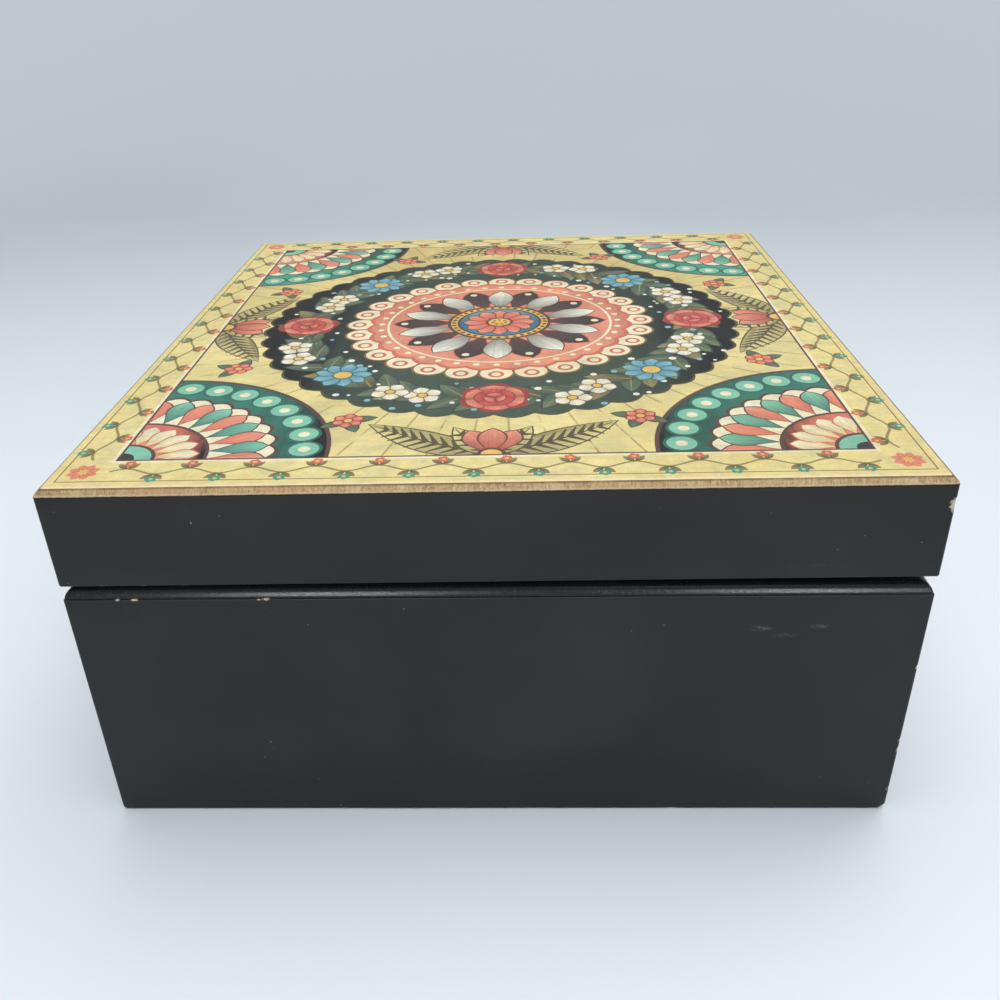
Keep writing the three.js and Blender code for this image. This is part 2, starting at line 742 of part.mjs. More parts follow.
function addComb() {
  const tonePitch = cylinderLength / toneCount;
  const points = [[cylinderX, combBaseY - combBaseDepth]];
  points.push([cylinderX + cylinderLength, combBaseY - combBaseDepth]);
  for (let tone = toneCount - 1; tone >= 0; tone--) {
    const share = tone / (toneCount - 1);
    const root = combTipY - THREE.MathUtils.lerp(longestTone, shortestTone, share);
    const right = cylinderX + tonePitch * (tone + 1) - toneGap / 2;
    const left = cylinderX + tonePitch * tone + toneGap / 2;
    points.push([right, root], [right, combTipY], [left, combTipY], [left, root]);
  }
  const shape = polygon(points);
  for (const [x, y] of combScrewPlaces()) roundHole(shape, x, y, combScrew.shankRadius + screwGap);
  piece("comb", extruded(shape, combThickness), steel, movement, [0, 0, combZ]);
  combScrewPlaces().forEach(([x, y], i) => {
    const geometry = screwGeometry(combScrew).rotateX(Math.PI);
    const place = [x, y, combZ + combThickness + glueGap];
    piece(`comb_screw_${i + 1}`, geometry, steel, movement, place);
  });
}

// Tune cylinder with its pegs, set out round each tone's track by the golden angle.
function addCylinder() {
  const goldenAngle = Math.PI * (3 - Math.sqrt(5));
  const tonePitch = cylinderLength / toneCount;
  const start = cylinderX;
  const drum = bar(cylinderRadius, [start, 0, axisZ], [start + cylinderLength, 0, axisZ], 36);
  const pegs = [];
  for (let tone = 0; tone < toneCount; tone++) {
    for (let i = 0; i < pegsPerTone; i++) {
      const angle = goldenAngle * (tone * pegsPerTone + i);
      const at = (radius) => [
        start + tonePitch * (tone + 0.5),
        radius * Math.cos(angle),
        axisZ + radius * Math.sin(angle),
      ];
      pegs.push(bar(pegRadius, at(cylinderRadius - pegHeight), at(cylinderRadius + pegHeight), 5));
    }
  }
  const bore = bar(arborRadius + pressGap, [start - 1, 0, axisZ], [start + cylinderLength + 1, 0, axisZ]);
  piece("tune_cylinder", carved(joined(drum, ...pegs), bore), brass, movement);

  const pinionX = crownMiddle - pinionFace / 2;
  const arborStart = pinionX - endGap;
  const arborEnd = driveX + governorFace + endGap;
  const arbor = bar(arborRadius, [arborStart, 0, axisZ], [arborEnd, 0, axisZ]);
  piece("cylinder_arbor", arbor, steel, movement);

  const pinion = wheelOutline({
    teeth: pinionTeeth,
    pitchRadius: pinionPitchRadius,
    addendum: toothAddendum,
    dedendum: toothDedendum,
    backlash: crownBacklash,
    firstTooth: -Math.PI / 2,
  });
  roundHole(pinion, 0, 0, arborRadius + pressGap);
  piece("cylinder_pinion", plateAcrossX(pinion, pinionX, pinionFace), nylon, movement, [0, 0, axisZ]);

  const drive = wheelOutline({
    teeth: driveTeeth,
    pitchRadius: drivePitchRadius,
    addendum: fineAddendum,
    dedendum: fineDedendum,
    backlash: fineBacklash,
  });
  roundHole(drive, 0, 0, arborRadius + pressGap);
  piece("governor_drive_wheel", plateAcrossX(drive, driveX, governorFace), nylon, movement, [0, 0, axisZ]);
}

// A crown tooth: a wedge about the barrel's axis with straight flanks, like a rack's.
function crownTooth(middleAngle) {
  const pitchHalf = (Math.PI * crownMiddle) / (2 * crownTeeth) - crownBacklash / 4;
  const slope = Math.tan(pressureAngle);
  const footHeight = crownRootZ - crownThickness / 2;
  const tipHeight = crownRootZ + toothDedendum + toothAddendum;
  const halfAngles = [pitchHalf + toothDedendum * slope, pitchHalf - toothAddendum * slope].map(
    (half) => half / crownMiddle,
  );
  const position = [];
  for (const radius of [barrelRadius - crownFace, barrelRadius]) {
    for (const [height, half] of [[footHeight, halfAngles[0]], [tipHeight, halfAngles[1]]]) {
      for (const side of [-1, 1]) {
        const angle = middleAngle + side * half;
        position.push(radius * Math.cos(angle), radius * Math.sin(angle), height);
      }
    }
  }
  const quads = [[0, 2, 3, 1], [4, 5, 7, 6], [0, 1, 5, 4], [2, 6, 7, 3], [0, 4, 6, 2], [1, 3, 7, 5]];
  const geometry = new THREE.BufferGeometry();
  geometry.setAttribute("position", new THREE.Float32BufferAttribute(position, 3));
  return geometry.setIndex(quads.flatMap(([a, b, c, d]) => [a, b, c, a, c, d]));
}

// Spring barrel with its crown wheel, the mainspring inside it, and the winding arbor.
function addBarrel() {
  const bore = windingRadius + runGap;
  const inner = barrelRadius - barrelWall;
  const underCrown = crownRootZ - crownThickness;
  const profile = [
    [bore, barrelZ],
    [barrelRadius, barrelZ],
    [barrelRadius, crownRootZ],
    [barrelRadius - crownFace, crownRootZ],
    [barrelRadius - crownFace, underCrown],
    [inner, underCrown],
    [inner, barrelZ + barrelFloor],
    [bore, barrelZ + barrelFloor],
  ];
  const teeth = [];
  for (let i = 0; i < crownTeeth; i++) teeth.push(crownTooth((2 * Math.PI * (i + 0.5)) / crownTeeth));
  piece("spring_barrel", joined(turned(profile, 2 * crownTeeth), ...teeth), brass, movement);

  const springInner = windingCoreRadius + softGap;
  const springOuter = inner - softGap - springThickness;
  const steps = springTurns * 18;
  const spiral = (share, offset) => {
    const radius = THREE.MathUtils.lerp(springInner, springOuter, share) + offset;
    const angle = 2 * Math.PI * springTurns * share;
    return [radius * Math.cos(angle), radius * Math.sin(angle)];
  };
  const shares = Array.from({ length: steps + 1 }, (unused, i) => i / steps);
  const outside = shares.map((share) => spiral(share, springThickness));
  const inside = shares.map((share) => spiral(share, 0)).reverse();
  const strip = extruded(polygon([...outside, ...inside]), springWidth);
  piece("mainspring", strip, steel, movement, [0, 0, springZ]);

  const arborFoot = -floorThickness - keyHubLength + endGap;
  const arbor = turned(
    [
      [0, arborFoot],
      [windingRadius, arborFoot],
      [windingRadius, springZ],
      [windingCoreRadius, springZ],
      [windingCoreRadius, springZ + springWidth],
      [0, springZ + springWidth],
    ],
    16,
  );
  piece("winding_arbor", arbor, steel, movement);
}

// Winding key: a hub on the arbor's end and two rounded wings, in the recess under the floor.
function addKey() {
  const hubTop = -floorThickness - endGap;
  const hubBottom = hubTop - keyHubLength;
  const wingBottom = keyTableGap - floorTop;
  const wingTop = hubTop - keyHubLength / 2;
  const wingRadius = (wingTop - wingBottom) / 2;
  const wingMiddle = (wingTop + wingBottom) / 2;
  const reach = keySpan / 2 - wingRadius;
  const outline = new THREE.Shape();
  outline.moveTo(-reach, wingBottom);
  outline.lineTo(reach, wingBottom);
  outline.absarc(reach, wingMiddle, wingRadius, -Math.PI / 2, Math.PI / 2, false);
  outline.lineTo(-reach, wingTop);
  outline.absarc(-reach, wingMiddle, wingRadius, Math.PI / 2, (3 * Math.PI) / 2, false);
  const wings = extruded(outline, keyThickness).translate(0, 0, -keyThickness / 2).rotateX(Math.PI / 2);
  const hub = bar(keyHubRadius, [0, 0, hubBottom], [0, 0, hubTop], 20);
  const bore = bar(windingRadius + pressGap, [0, 0, hubBottom + endGap], [0, 0, hubTop + 1]);
  piece("winding_key", carved(joined(wings, hub), bore), brass, movement);
  bedScrewPlaces.forEach(([x, y], i) => {
    const place = [x, y, -floorThickness - glueGap];
    piece(`movement_screw_${i + 1}`, screwGeometry(floorScrew), steel, movement, place);
  });
}

// Governor bracket: two cheeks on a foot, bridged at the top, with the bearings of both shafts.
function addGovernorBracket() {
  const foot = bedThickness + glueGap;
  const top = bridgeZ + bridgeThickness;
  const acrossX = [innerCheekX, outerCheekX + cheekThickness];
  const alongY = [cheekFront, cheekBack];
  const body = joined(
    block(acrossX, alongY, [foot, foot + bridgeThickness]),
    block([innerCheekX, innerCheekX + cheekThickness], alongY, [foot, top]),
    block([outerCheekX, outerCheekX + cheekThickness], alongY, [foot, top]),
    block(acrossX, [wormY - wormPitchRadius - lugGap, cheekBack], [bridgeZ, top]),
  );
  const pivot = pivotRadius + runGap;
  const bearing = bar(pivot, [acrossX[0] - 1, governorY, axisZ], [acrossX[1] + 1, governorY, axisZ]);
  const footBearing = bar(pivot, [wormX, wormY, foot + endGap], [wormX, wormY, foot + bridgeThickness + 1]);
  const topBearing = bar(pivot, [wormX, wormY, bridgeZ - 1], [wormX, wormY, top + 1]);
  piece("governor_bracket", carved(body, bearing, footBearing, topBearing), castZinc, movement);
}

// Governor wheel: the pinion that the cylinder drives, and the wheel that turns the worm.
function addGovernorWheel() {
  const pinion = wheelOutline({
    teeth: governorTeeth,
    pitchRadius: governorPitchRadius,
    addendum: fineAddendum,
    dedendum: fineDedendum,
    backlash: fineBacklash,
    firstTooth: Math.PI + Math.PI / governorTeeth,
  });
  const wheel = wheelOutline({
    teeth: wormWheelTeeth,
    pitchRadius: wormWheelRadius,
    addendum: fineAddendum,
    dedendum: fineDedendum,
    backlash: wormPitch / 4,
    firstTooth: Math.PI / wormWheelTeeth,
  });
  const wheelX = wormX - wormWheelFace / 2;
  const hub = bar(arborRadius + lugGap, [wheelX, 0, 0], [driveX + governorFace, 0, 0]);
  const shaftEnds = [innerCheekX + endGap, outerCheekX + cheekThickness - endGap];
  const shaft = bar(pivotRadius, [shaftEnds[0], 0, 0], [shaftEnds[1], 0, 0]);
  const geometry = joined(
    plateAcrossX(pinion, driveX, governorFace),
    plateAcrossX(wheel, wheelX, wormWheelFace),
    hub,
    shaft,
  );
  piece("governor_wheel", geometry, nylon, movement, [0, governorY, axisZ]);
}

// A strip or wire wound round Z: a section of [radius, height] points carried along a helix.
function helix(section, pitch, height, stepsPerTurn, startAngle = 0) {
  const steps = Math.round((height / pitch) * stepsPerTurn);
  const count = section.length;
  const position = [];
  const index = [];
  for (let step = 0; step <= steps; step++) {
    const climbed = (height * step) / steps;
    const angle = startAngle + (2 * Math.PI * climbed) / pitch;
    for (const [radius, offset] of section) {
      position.push(radius * Math.cos(angle), radius * Math.sin(angle), climbed + offset);
    }
    if (step === 0) continue;
    for (let side = 0; side < count; side++) {
      const a = (step - 1) * count + side;
      const b = (step - 1) * count + ((side + 1) % count);
      index.push(a, b + count, b, a, a + count, b + count);
    }
  }
  const last = steps * count;
  for (let side = 1; side + 1 < count; side++) {
    index.push(0, side, side + 1, last, last + side + 1, last + side);
  }
  const geometry = new THREE.BufferGeometry();
  geometry.setAttribute("position", new THREE.Float32BufferAttribute(position, 3));
  return geometry.setIndex(index);
}

// The worm's single-start thread, which crosses the wheel's middle on the side facing the wheel.
function wormThread() {
  const rootHalf = wormPitch / 5;
  const tipHalf = wormPitch / 9;
  const inner = wormCoreRadius - wormThreadHeight / 4;
  const outer = wormCoreRadius + wormThreadHeight;
  const section = [[inner, -rootHalf], [outer, -tipHalf], [outer, tipHalf], [inner, rootHalf]];
  const startAngle = (-2 * Math.PI * wormThreadHalf) / wormPitch - Math.PI / 2;
  const thread = helix(section, wormPitch, 2 * wormThreadHalf, 14, startAngle);
  return thread.translate(0, 0, -wormThreadHalf);
}

// Governor worm with its brake disc and the air vanes that hold the tune to time.
function addGovernorWorm() {
  const foot = bedThickness + glueGap + 2 * endGap;
  const coreFoot = bedThickness + bridgeThickness + endGap;
  const vaneFoot = brakeZ + brakeThickness;
  const shaft = bar(pivotRadius, [0, 0, foot], [0, 0, vaneFoot + fanHeight], 14);
  const core = bar(wormCoreRadius, [0, 0, coreFoot], [0, 0, bridgeZ - endGap], 14);
  const disc = bar(brakeRadius, [0, 0, brakeZ], [0, 0, vaneFoot], 32);
  const vaneReach = brakeRadius - endGap;
  const vane = block(
    [-vaneReach, vaneReach],
    [-fanThickness / 2, fanThickness / 2],
    [brakeZ + brakeThickness / 2, vaneFoot + fanHeight],
  );
  const geometry = joined(shaft, core, wormThread().translate(0, 0, axisZ), disc, vane);
  piece("governor_worm", geometry, steel, movement, [wormX, wormY, 0]);
}

// Stop work: the lid holds the rod down, the lever then bears on the brake disc from below.
function lidHeightAt(y, heightInLid) {
  const along = y - hingeY;
  return hingeZ + along * Math.sin(lidTilt) + (lidFloat + heightInLid) * Math.cos(lidTilt);
}

function addStopWork() {
  const leverStart = rodX - leverTail;
  const leverEnd = wormX + leverWidth;
  const arm = block(
    [leverStart, leverEnd],
    [leverY - leverWidth / 2, leverY + leverWidth / 2],
    [leverTopZ - leverThickness, leverTopZ],
  );
  const pivotEnd = [leverPivotX, postBack - endGap, leverPivotZ];
  const pivot = bar(pivotRadius, [leverPivotX, leverY, leverPivotZ], pivotEnd);
  piece("stop_lever", joined(arm, pivot), steel, movement);

  const underSurround = lidHeightAt(movementY + leverY, lidWallHeight - surroundThickness);
  const rodTop = underSurround - endGap - floorTop;
  const rodFoot = leverTopZ + endGap;
  const rod = turned(
    [
      [0, rodFoot],
      [stopRodRadius, rodFoot],
      [stopRodRadius, rodTop - stopRodRadius / 2],
      [stopRodRadius / 2, rodTop],
      [0, rodTop],
    ],
    16,
  );
  piece("stop_rod", rod, bareWood, movement, [rodX, leverY, 0]);

  const springFoot = bedThickness + stopSpringWire + glueGap;
  const springHead = leverTopZ - leverThickness - stopSpringWire - glueGap;
  const wire = Array.from({ length: 6 }, (unused, i) => {
    const angle = (Math.PI * i) / 3;
    return [stopSpringRadius + stopSpringWire * Math.cos(angle), stopSpringWire * Math.sin(angle)];
  });
  const length = springHead - springFoot;
  const spring = helix(wire, length / stopSpringTurns, length, 16);
  piece("stop_spring", spring, steel, movement, [rodX, leverY, springFoot]);
}

addBaseWalls();
addFloor();
addLinings();
addDividers();
addWellPad();
addRingRolls();
addMovementCover();
addLid();
addMirror();
addHinges();
addBedplate();
addComb();
addCylinder();
addBarrel();
addKey();
addGovernorBracket();
addGovernorWheel();
addGovernorWorm();
addStopWork();

export default musicBox;
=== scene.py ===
import json
import math
import random

import bmesh
import bpy
import numpy as np
from mathutils import Matrix, Vector, noise
from mathutils.geometry import delaunay_2d_cdt


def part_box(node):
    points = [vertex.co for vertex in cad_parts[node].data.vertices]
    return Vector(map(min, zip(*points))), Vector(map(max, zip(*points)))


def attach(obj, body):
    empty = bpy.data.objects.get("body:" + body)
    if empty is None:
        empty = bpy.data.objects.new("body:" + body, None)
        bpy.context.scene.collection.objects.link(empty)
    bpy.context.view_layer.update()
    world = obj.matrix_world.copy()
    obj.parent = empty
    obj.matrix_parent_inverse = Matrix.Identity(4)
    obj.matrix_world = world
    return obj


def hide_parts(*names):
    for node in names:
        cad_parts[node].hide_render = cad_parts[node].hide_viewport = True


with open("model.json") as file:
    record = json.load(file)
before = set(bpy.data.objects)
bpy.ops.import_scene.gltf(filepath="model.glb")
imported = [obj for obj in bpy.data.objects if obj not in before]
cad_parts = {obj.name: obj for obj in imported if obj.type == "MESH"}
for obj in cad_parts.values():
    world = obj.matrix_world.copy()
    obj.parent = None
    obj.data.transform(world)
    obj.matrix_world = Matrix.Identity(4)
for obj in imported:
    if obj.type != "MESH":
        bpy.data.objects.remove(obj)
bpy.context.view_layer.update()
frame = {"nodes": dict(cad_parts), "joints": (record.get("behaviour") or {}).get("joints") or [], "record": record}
mm = 0.001  # drawn in millimetres, made in metres
rng = random.Random(11)


# places taken from the frame, in millimetres
def boxOf(node):
    low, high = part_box(node)
    return low / mm, high / mm


halfX = boxOf("base_right_wall")[1].x
boardThickness = halfX - boxOf("base_right_wall")[0].x
rimHeight = boxOf("base_right_wall")[1].z
backY = boxOf("base_back_wall")[1].y
frontY = boxOf("base_front_wall")[0].y
halfY = (backY - frontY) / 2
floorLow, floorHigh = boxOf("base_floor")
bodyOf = {}
for bodyName, members in frame["record"]["behaviour"]["bodies"].items():
    bodyOf.update({member: bodyName for member in members})

lidShape = {
    "rise": 0.85,  # underside of the lid above the hinge pin
    "wallHeight": 15.5,
    "panelThickness": 3.5,
    "chamfer": 1.1,
    "paper": 0.3,
    "paperGlue": 0.02,
}
hingePoint = Vector(next(j for j in frame["joints"] if j["name"] == "lid_hinge")["pos_m"])
paperFace = max(frame["nodes"]["lid_picture"].data.polygons, key=lambda f: f.normal.z * f.area)
lidTilt = math.atan2(-paperFace.normal.y, paperFace.normal.z)
basePlace = Matrix.Translation((0, (backY + frontY) / 2 * mm, 0))
lidPlace = (
    Matrix.Translation(hingePoint)
    @ Matrix.Rotation(lidTilt, 4, "X")
    @ Matrix.Translation((0, basePlace.translation.y - hingePoint.y, lidShape["rise"] * mm))
)
panelTop = lidShape["wallHeight"] + lidShape["panelThickness"]


def forward(operation):
    return lambda wire, other: wire.reckon(operation, wire, other)


def backward(operation):
    return lambda wire, other: wire.reckon(operation, other, wire)


# a node output that can be used in sums
class Wire:
    def __init__(self, socket):
        self.socket = socket

    def __getitem__(self, output):  # another output of the same node
        return Wire(self.socket.node.outputs[output])

    def reckon(self, operation, *values):
        made = self.socket.id_data.nodes.new("ShaderNodeMath")
        made.operation = operation
        for value, place in zip(values, made.inputs):
            plug(value, place)
        return Wire(made.outputs[0])

    def __abs__(self):
        return self.reckon("ABSOLUTE", self)

    __add__, __radd__ = forward("ADD"), backward("ADD")
    __sub__, __rsub__ = forward("SUBTRACT"), backward("SUBTRACT")
    __mul__, __rmul__ = forward("MULTIPLY"), backward("MULTIPLY")
    __pow__, __rpow__ = forward("POWER"), backward("POWER")
    __gt__, __lt__ = forward("GREATER_THAN"), forward("LESS_THAN")


def plug(value, socket):
    if isinstance(value, Wire):
        socket.id_data.links.new(value.socket, socket)
    elif socket.type == "RGBA":
        socket.default_value = (*value[:3], 1.0)
    else:
        socket.default_value = value


def least(first, *others):
    for other in others:
        first = first.reckon("MINIMUM", first, other)
    return first


def most(first, *others):
    for other in others:
        first = first.reckon("MAXIMUM", first, other)
    return first


# a material or world made of nodes, with the position in millimetres at hand
class Finish:
    def __init__(self, name, shelf=bpy.data.materials):
        self.made = shelf.new(name)
        self.made.use_nodes = True
        self.tree = self.made.node_tree
        self.tree.nodes.clear()
        where = self.node("TexCoord")["Object"]
        self.place = self.node("VectorMath", {"operation": "SCALE"}, {0: where, "Scale": 1 / mm})

    def node(self, kind, settings=None, sockets=None):
        made = self.tree.nodes.new("ShaderNode" + kind)
        for name, value in (settings or {}).items():
            if name == "stops":
                setStops(made.color_ramp, value)
            else:
                setattr(made, name, value)
        for name, value in (sockets or {}).items():
            plug(value, made.inputs[name])
        return Wire(made.outputs[0]) if made.outputs else None

    def parts(self, vector):
        split = self.node("SeparateXYZ", None, {0: vector})
        return split, split[1], split[2]

    def joined(self, x, y, z):
        return self.node("CombineXYZ", None, {0: x, 1: y, 2: z})

    def stretched(self, sizes, vector=None):  # position with each axis in units of its own
        units = tuple(1 / size for size in sizes)
        return self.node("VectorMath", {"operation": "MULTIPLY"}, {0: vector or self.place, 1: units})

    def noise(self, size, detail=2.0, roughness=0.5, vector=None):  # size of a feature in mm
        sockets = {"Scale": 1 / size, "Detail": detail, "Roughness": roughness}
        return self.node("TexNoise", None, {"Vector": vector or self.place, **sockets})

    def cells(self, size):
        return self.node("TexVoronoi", None, {"Vector": self.place, "Scale": 1 / size})

    def rise(self, value, low, high, start=0.0, end=1.0):  # start below low, end above high
        sockets = {0: value, 1: low, 2: high, 3: start, 4: end}
        return self.node("MapRange", {"interpolation_type": "SMOOTHSTEP"}, sockets)

    def fall(self, value, low, high):
        return self.rise(value, low, high, 1.0, 0.0)

    def mix(self, first, second, share, mode="MIX"):
        settings = {"data_type": "RGBA", "blend_type": mode}
        return self.node("Mix", settings, {0: share, 6: first, 7: second})[2]

    def shaded(self, colour, amount):  # colour times a value
        return self.mix(colour, amount, 1.0, "MULTIPLY")

    def ramp(self, value, stops):
        return self.node("ValToRGB", {"stops": stops}, {0: value})

    def away(self, centre, sizes):  # distance from a place, in units of its sizes
        apart = self.node("VectorMath", {"operation": "SUBTRACT"}, {0: self.place, 1: centre})
        scaled = self.stretched(sizes, apart)
        return self.node("VectorMath", {"operation": "LENGTH"}, {0: scaled})["Value"]

    def done(self, sockets, height=None, depth=0.01):
        if height is not None:
            bump = {"Strength": 1.0, "Distance": depth * mm, "Height": height}
            sockets = {**sockets, "Normal": self.node("Bump", None, bump)}
        shader = self.node("BsdfPrincipled", None, sockets)
        return self.shown(shader)

    def shown(self, shader, output="OutputMaterial"):
        self.node(output, None, {"Surface": shader})
        return self.made


def setStops(ramp, stops):
    while len(ramp.elements) < len(stops):
        ramp.elements.new(0.5)
    for element, (at, colour) in zip(ramp.elements, stops):
        element.position = at
        element.color = (*colour, 1.0)


# pieces
meshSet = {"join": 0.0005, "sliver": 0.0002}  # points this close are one, and thinner faces go


def meshOf(name, points, faces):
    mesh = bpy.data.meshes.new(name)
    mesh.from_pydata([tuple(c * mm for c in point) for point in points], [], faces)
    return mesh


def linked(name, data):
    thing = bpy.data.objects.new(name, data)
    bpy.context.scene.collection.objects.link(thing)
    return thing


def makePiece(name, points, faces, finish, nodes, slot, place=None, smooth=40):
    mesh = meshOf(name, points, faces)
    tidyMesh(mesh)
    return settle(name, mesh, finish, nodes, place, smooth)


def tidyMesh(mesh):
    work = bmesh.new()
    work.from_mesh(mesh)
    bmesh.ops.remove_doubles(work, verts=work.verts, dist=meshSet["join"] * mm)
    bmesh.ops.dissolve_degenerate(work, dist=meshSet["sliver"] * mm, edges=work.edges)
    bmesh.ops.recalc_face_normals(work, faces=work.faces)
    work.to_mesh(mesh)
    work.free()


def settle(name, mesh, finish, nodes, place=None, smooth=40):
    mesh.materials.clear()
    mesh.materials.append(finish)
    mesh.shade_smooth()
    mesh.set_sharp_from_angle(angle=math.radians(smooth))
    piece = linked(name, mesh)
    piece.matrix_world = place or Matrix()
    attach(piece, bodyOf[nodes[0]])
    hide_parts(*nodes)
    return piece


# the four sides in turn round the box: outward direction and direction along the side
sides = {"right": (1, 0), "back": (0, 1), "left": (-1, 0), "front": (0, -1)}


def planPoint(side, halves, cornerRound, inset, share, turn):
    outX, outY = sides[side]
    reach, half = halves if outX else halves[::-1]
    keep = max(cornerRound, inset)
    radius = max(cornerRound - inset, 0)
    outward = reach - keep + radius * math.cos(turn)
    along = share * (half - keep) + radius * math.sin(turn)
    return outX * outward - outY * along, outY * outward + outX * along


def sideStations(side, halves, step, extras=()):
    half = halves[1] if sides[side][0] else halves[0]
    cornerSteps = 3
    count = max(2, round(2 * half / step))
    shares = sorted({round(2 * i / count - 1, 6) for i in range(count + 1)}
                    | {round(at / half, 6) for at in extras if abs(at) < half})
    turns = [math.pi / 4 * i / cornerSteps for i in range(1, cornerSteps + 1)]
    return ([(-1, -turn) for turn in reversed(turns)] + [(share, 0) for share in shares]
            + [(1, turn) for turn in turns])


def arc(middleX, middleZ, radius, start, end, steps):
    angles = [math.radians(start + (end - start) * i / steps) for i in range(steps + 1)]
    return [(middleX + radius * math.cos(a), middleZ + radius * math.sin(a)) for a in angles]


# painted case
caseShape = {
    "cornerRound": 0.55,
    "edgeRound": 0.45,
    # the worn round-over of the rim, as inset and drop; a fine quirk runs under it
    "rimCurve": [(0.27, 1.92), (0.25, 1.70), (0.31, 1.52), (0.44, 1.25), (0.58, 0.97), (0.76, 0.71),
                 (0.99, 0.47), (1.27, 0.26), (1.60, 0.10), (1.95, 0.02), (2.4, 0.0), (4.5, 0.0)],
    "quirkLip": [(0.0, 0.24), (0.02, 0.13), (0.07, 0.05), (0.14, 0.02)],
    "innerRound": 0.4,
    "grooveDepth": 3.0,
    "grooveGap": 0.15,
    "step": 2.4,  # between rings along a board
    "wave": 0.03,  # how far the faces wander from flat
    "waveSize": 26.0,
    "waveFade": 10.0,  # the waver dies away over the last tenth towards a corner
    "faceClear": 0.4,  # between a rounded edge and the first ring on the face
    "baseRings": 5.0,
    "lidRings": 3.0,
    # rings through a chip, in half sizes from its middle
    "chipAlong": (-1.2, -0.8, -0.4, 0, 0.4, 0.8, 1.2),
    "chipUp": (-1.1, -0.6, 0, 0.6, 1.1),
    "chipReach": 1.4,
    "footChip": 1.0,  # chips below this height are driven up
    "rimChip": 50.0,  # and those above this one down
}
# worn places as middle, half sizes and depth, from the middle of the box
baseChips = [
    ((halfX, -66.2, 51.0), (0.8, 0.42, 0.20), 0.10),
    ((halfX, -63.2, 51.0), (0.8, 0.70, 0.20), 0.12),
    ((halfX, -39.9, 51.0), (0.8, 0.78, 0.22), 0.12),
    ((halfX, -41.2, 50.95), (0.8, 0.34, 0.13), 0.06),
    ((halfX, halfY, 35.2), (0.5, 0.50, 0.45), 0.14),
    ((halfX, halfY, 17.7), (0.5, 0.50, 0.45), 0.20),
    ((halfX, halfY, 15.4), (0.5, 0.50, 0.60), 0.18),
    ((halfX, halfY, 5.3), (0.6, 0.60, 0.50), 0.42),
    ((halfX, halfY, 0.0), (1.2, 1.20, 1.10), 0.50),
    ((halfX, 34.0, 0.0), (0.8, 1.20, 0.30), 0.10),
    ((halfX, -halfY, 0.0), (0.7, 0.70, 0.60), 0.24),
    ((-halfX, -halfY, 26.0), (0.6, 0.60, 0.90), 0.22),
    ((-halfX, halfY, 41.0), (0.5, 0.50, 0.70), 0.18),
    ((-32.0, -halfY, 51.0), (0.90, 0.8, 0.22), 0.12),
    ((55.0, -halfY, 0.0), (1.50, 0.8, 0.34), 0.14),
    ((-halfX, 18.0, 0.0), (0.8, 1.30, 0.34), 0.14),
    ((-halfX, 51.0, 51.0), (0.8, 0.70, 0.20), 0.12),
]
lidChips = [
    ((halfX, -61.0, 0.1), (0.7, 0.75, 0.13), 0.05),
    ((halfX, -53.7, 0.1), (0.7, 0.85, 0.12), 0.05),
    ((halfX, -68.5, 0.1), (0.7, 0.50, 0.10), 0.04),
    ((halfX, halfY, 14.2), (0.90, 1.15, 1.45), 0.11),
    ((-halfX, halfY, 0.0), (0.7, 0.70, 0.60), 0.24),
    ((-halfX, -44.0, 0.0), (0.8, 1.20, 0.26), 0.12),
    ((38.0, -halfY, 0.0), (1.40, 0.8, 0.28), 0.12),
]
# rubbed marks and specks as middle, half sizes and strength
baseScuffs = [
    ((halfX, 47.1, 44.2), (1, 2.4, 0.95), 0.34), ((halfX, 51.3, 42.6), (1, 3.0, 0.60), 0.26),
    ((halfX, 57.0, 44.5), (1, 2.9, 0.65), 0.26), ((halfX, 29.9, 45.0), (1, 0.30, 0.24), 0.40),
    ((halfX, 35.4, 52.0), (2, 0.20, 0.50), 0.25), ((halfX, -43.6, 17.9), (1, 0.20, 0.34), 1.00),
    ((halfX, -43.2, 16.4), (1, 0.20, 0.22), 0.45), ((halfX, -35.4, 8.3), (1, 0.24, 0.18), 0.40),
    ((halfX, -43.5, 2.2), (1, 0.14, 0.20), 0.45), ((halfX, -38.8, 1.2), (1, 0.14, 0.24), 0.45),
    ((halfX, -31.8, 1.1), (1, 0.28, 0.24), 0.55), ((-halfX, -20.0, 30.0), (1, 5.0, 0.80), 0.34),
    ((30.0, -halfY, 22.0), (4.5, 1, 0.80), 0.36), ((-48.0, -halfY, 38.0), (0.25, 1, 0.40), 0.60),
    ((22.0, halfY, 31.0), (5.5, 1, 0.70), 0.34), ((-halfX, 44.0, 12.0), (1, 0.30, 0.25), 0.55),
]
lidScuffs = [
    ((halfX, -50.3, 12.7), (1, 0.16, 0.38), 0.95), ((halfX, -50.7, 15.4), (1, 0.09, 2.2), 0.22),
    ((halfX, -73.0, 15.2), (1, 0.20, 0.18), 0.55), ((halfX, 46.2, 13.1), (1, 0.22, 0.18), 0.45),
    ((halfX, 58.0, 5.8), (1, 0.20, 0.18), 0.55), ((halfX, 55.4, 2.7), (1, 1.60, 0.30), 0.26),
    ((-34.0, -halfY, 7.0), (3.0, 1, 0.50), 0.32), ((-halfX, 27.0, 9.0), (1, 3.4, 0.50), 0.32),
    ((51.0, halfY, 6.0), (2.6, 1, 0.45), 0.32),
]


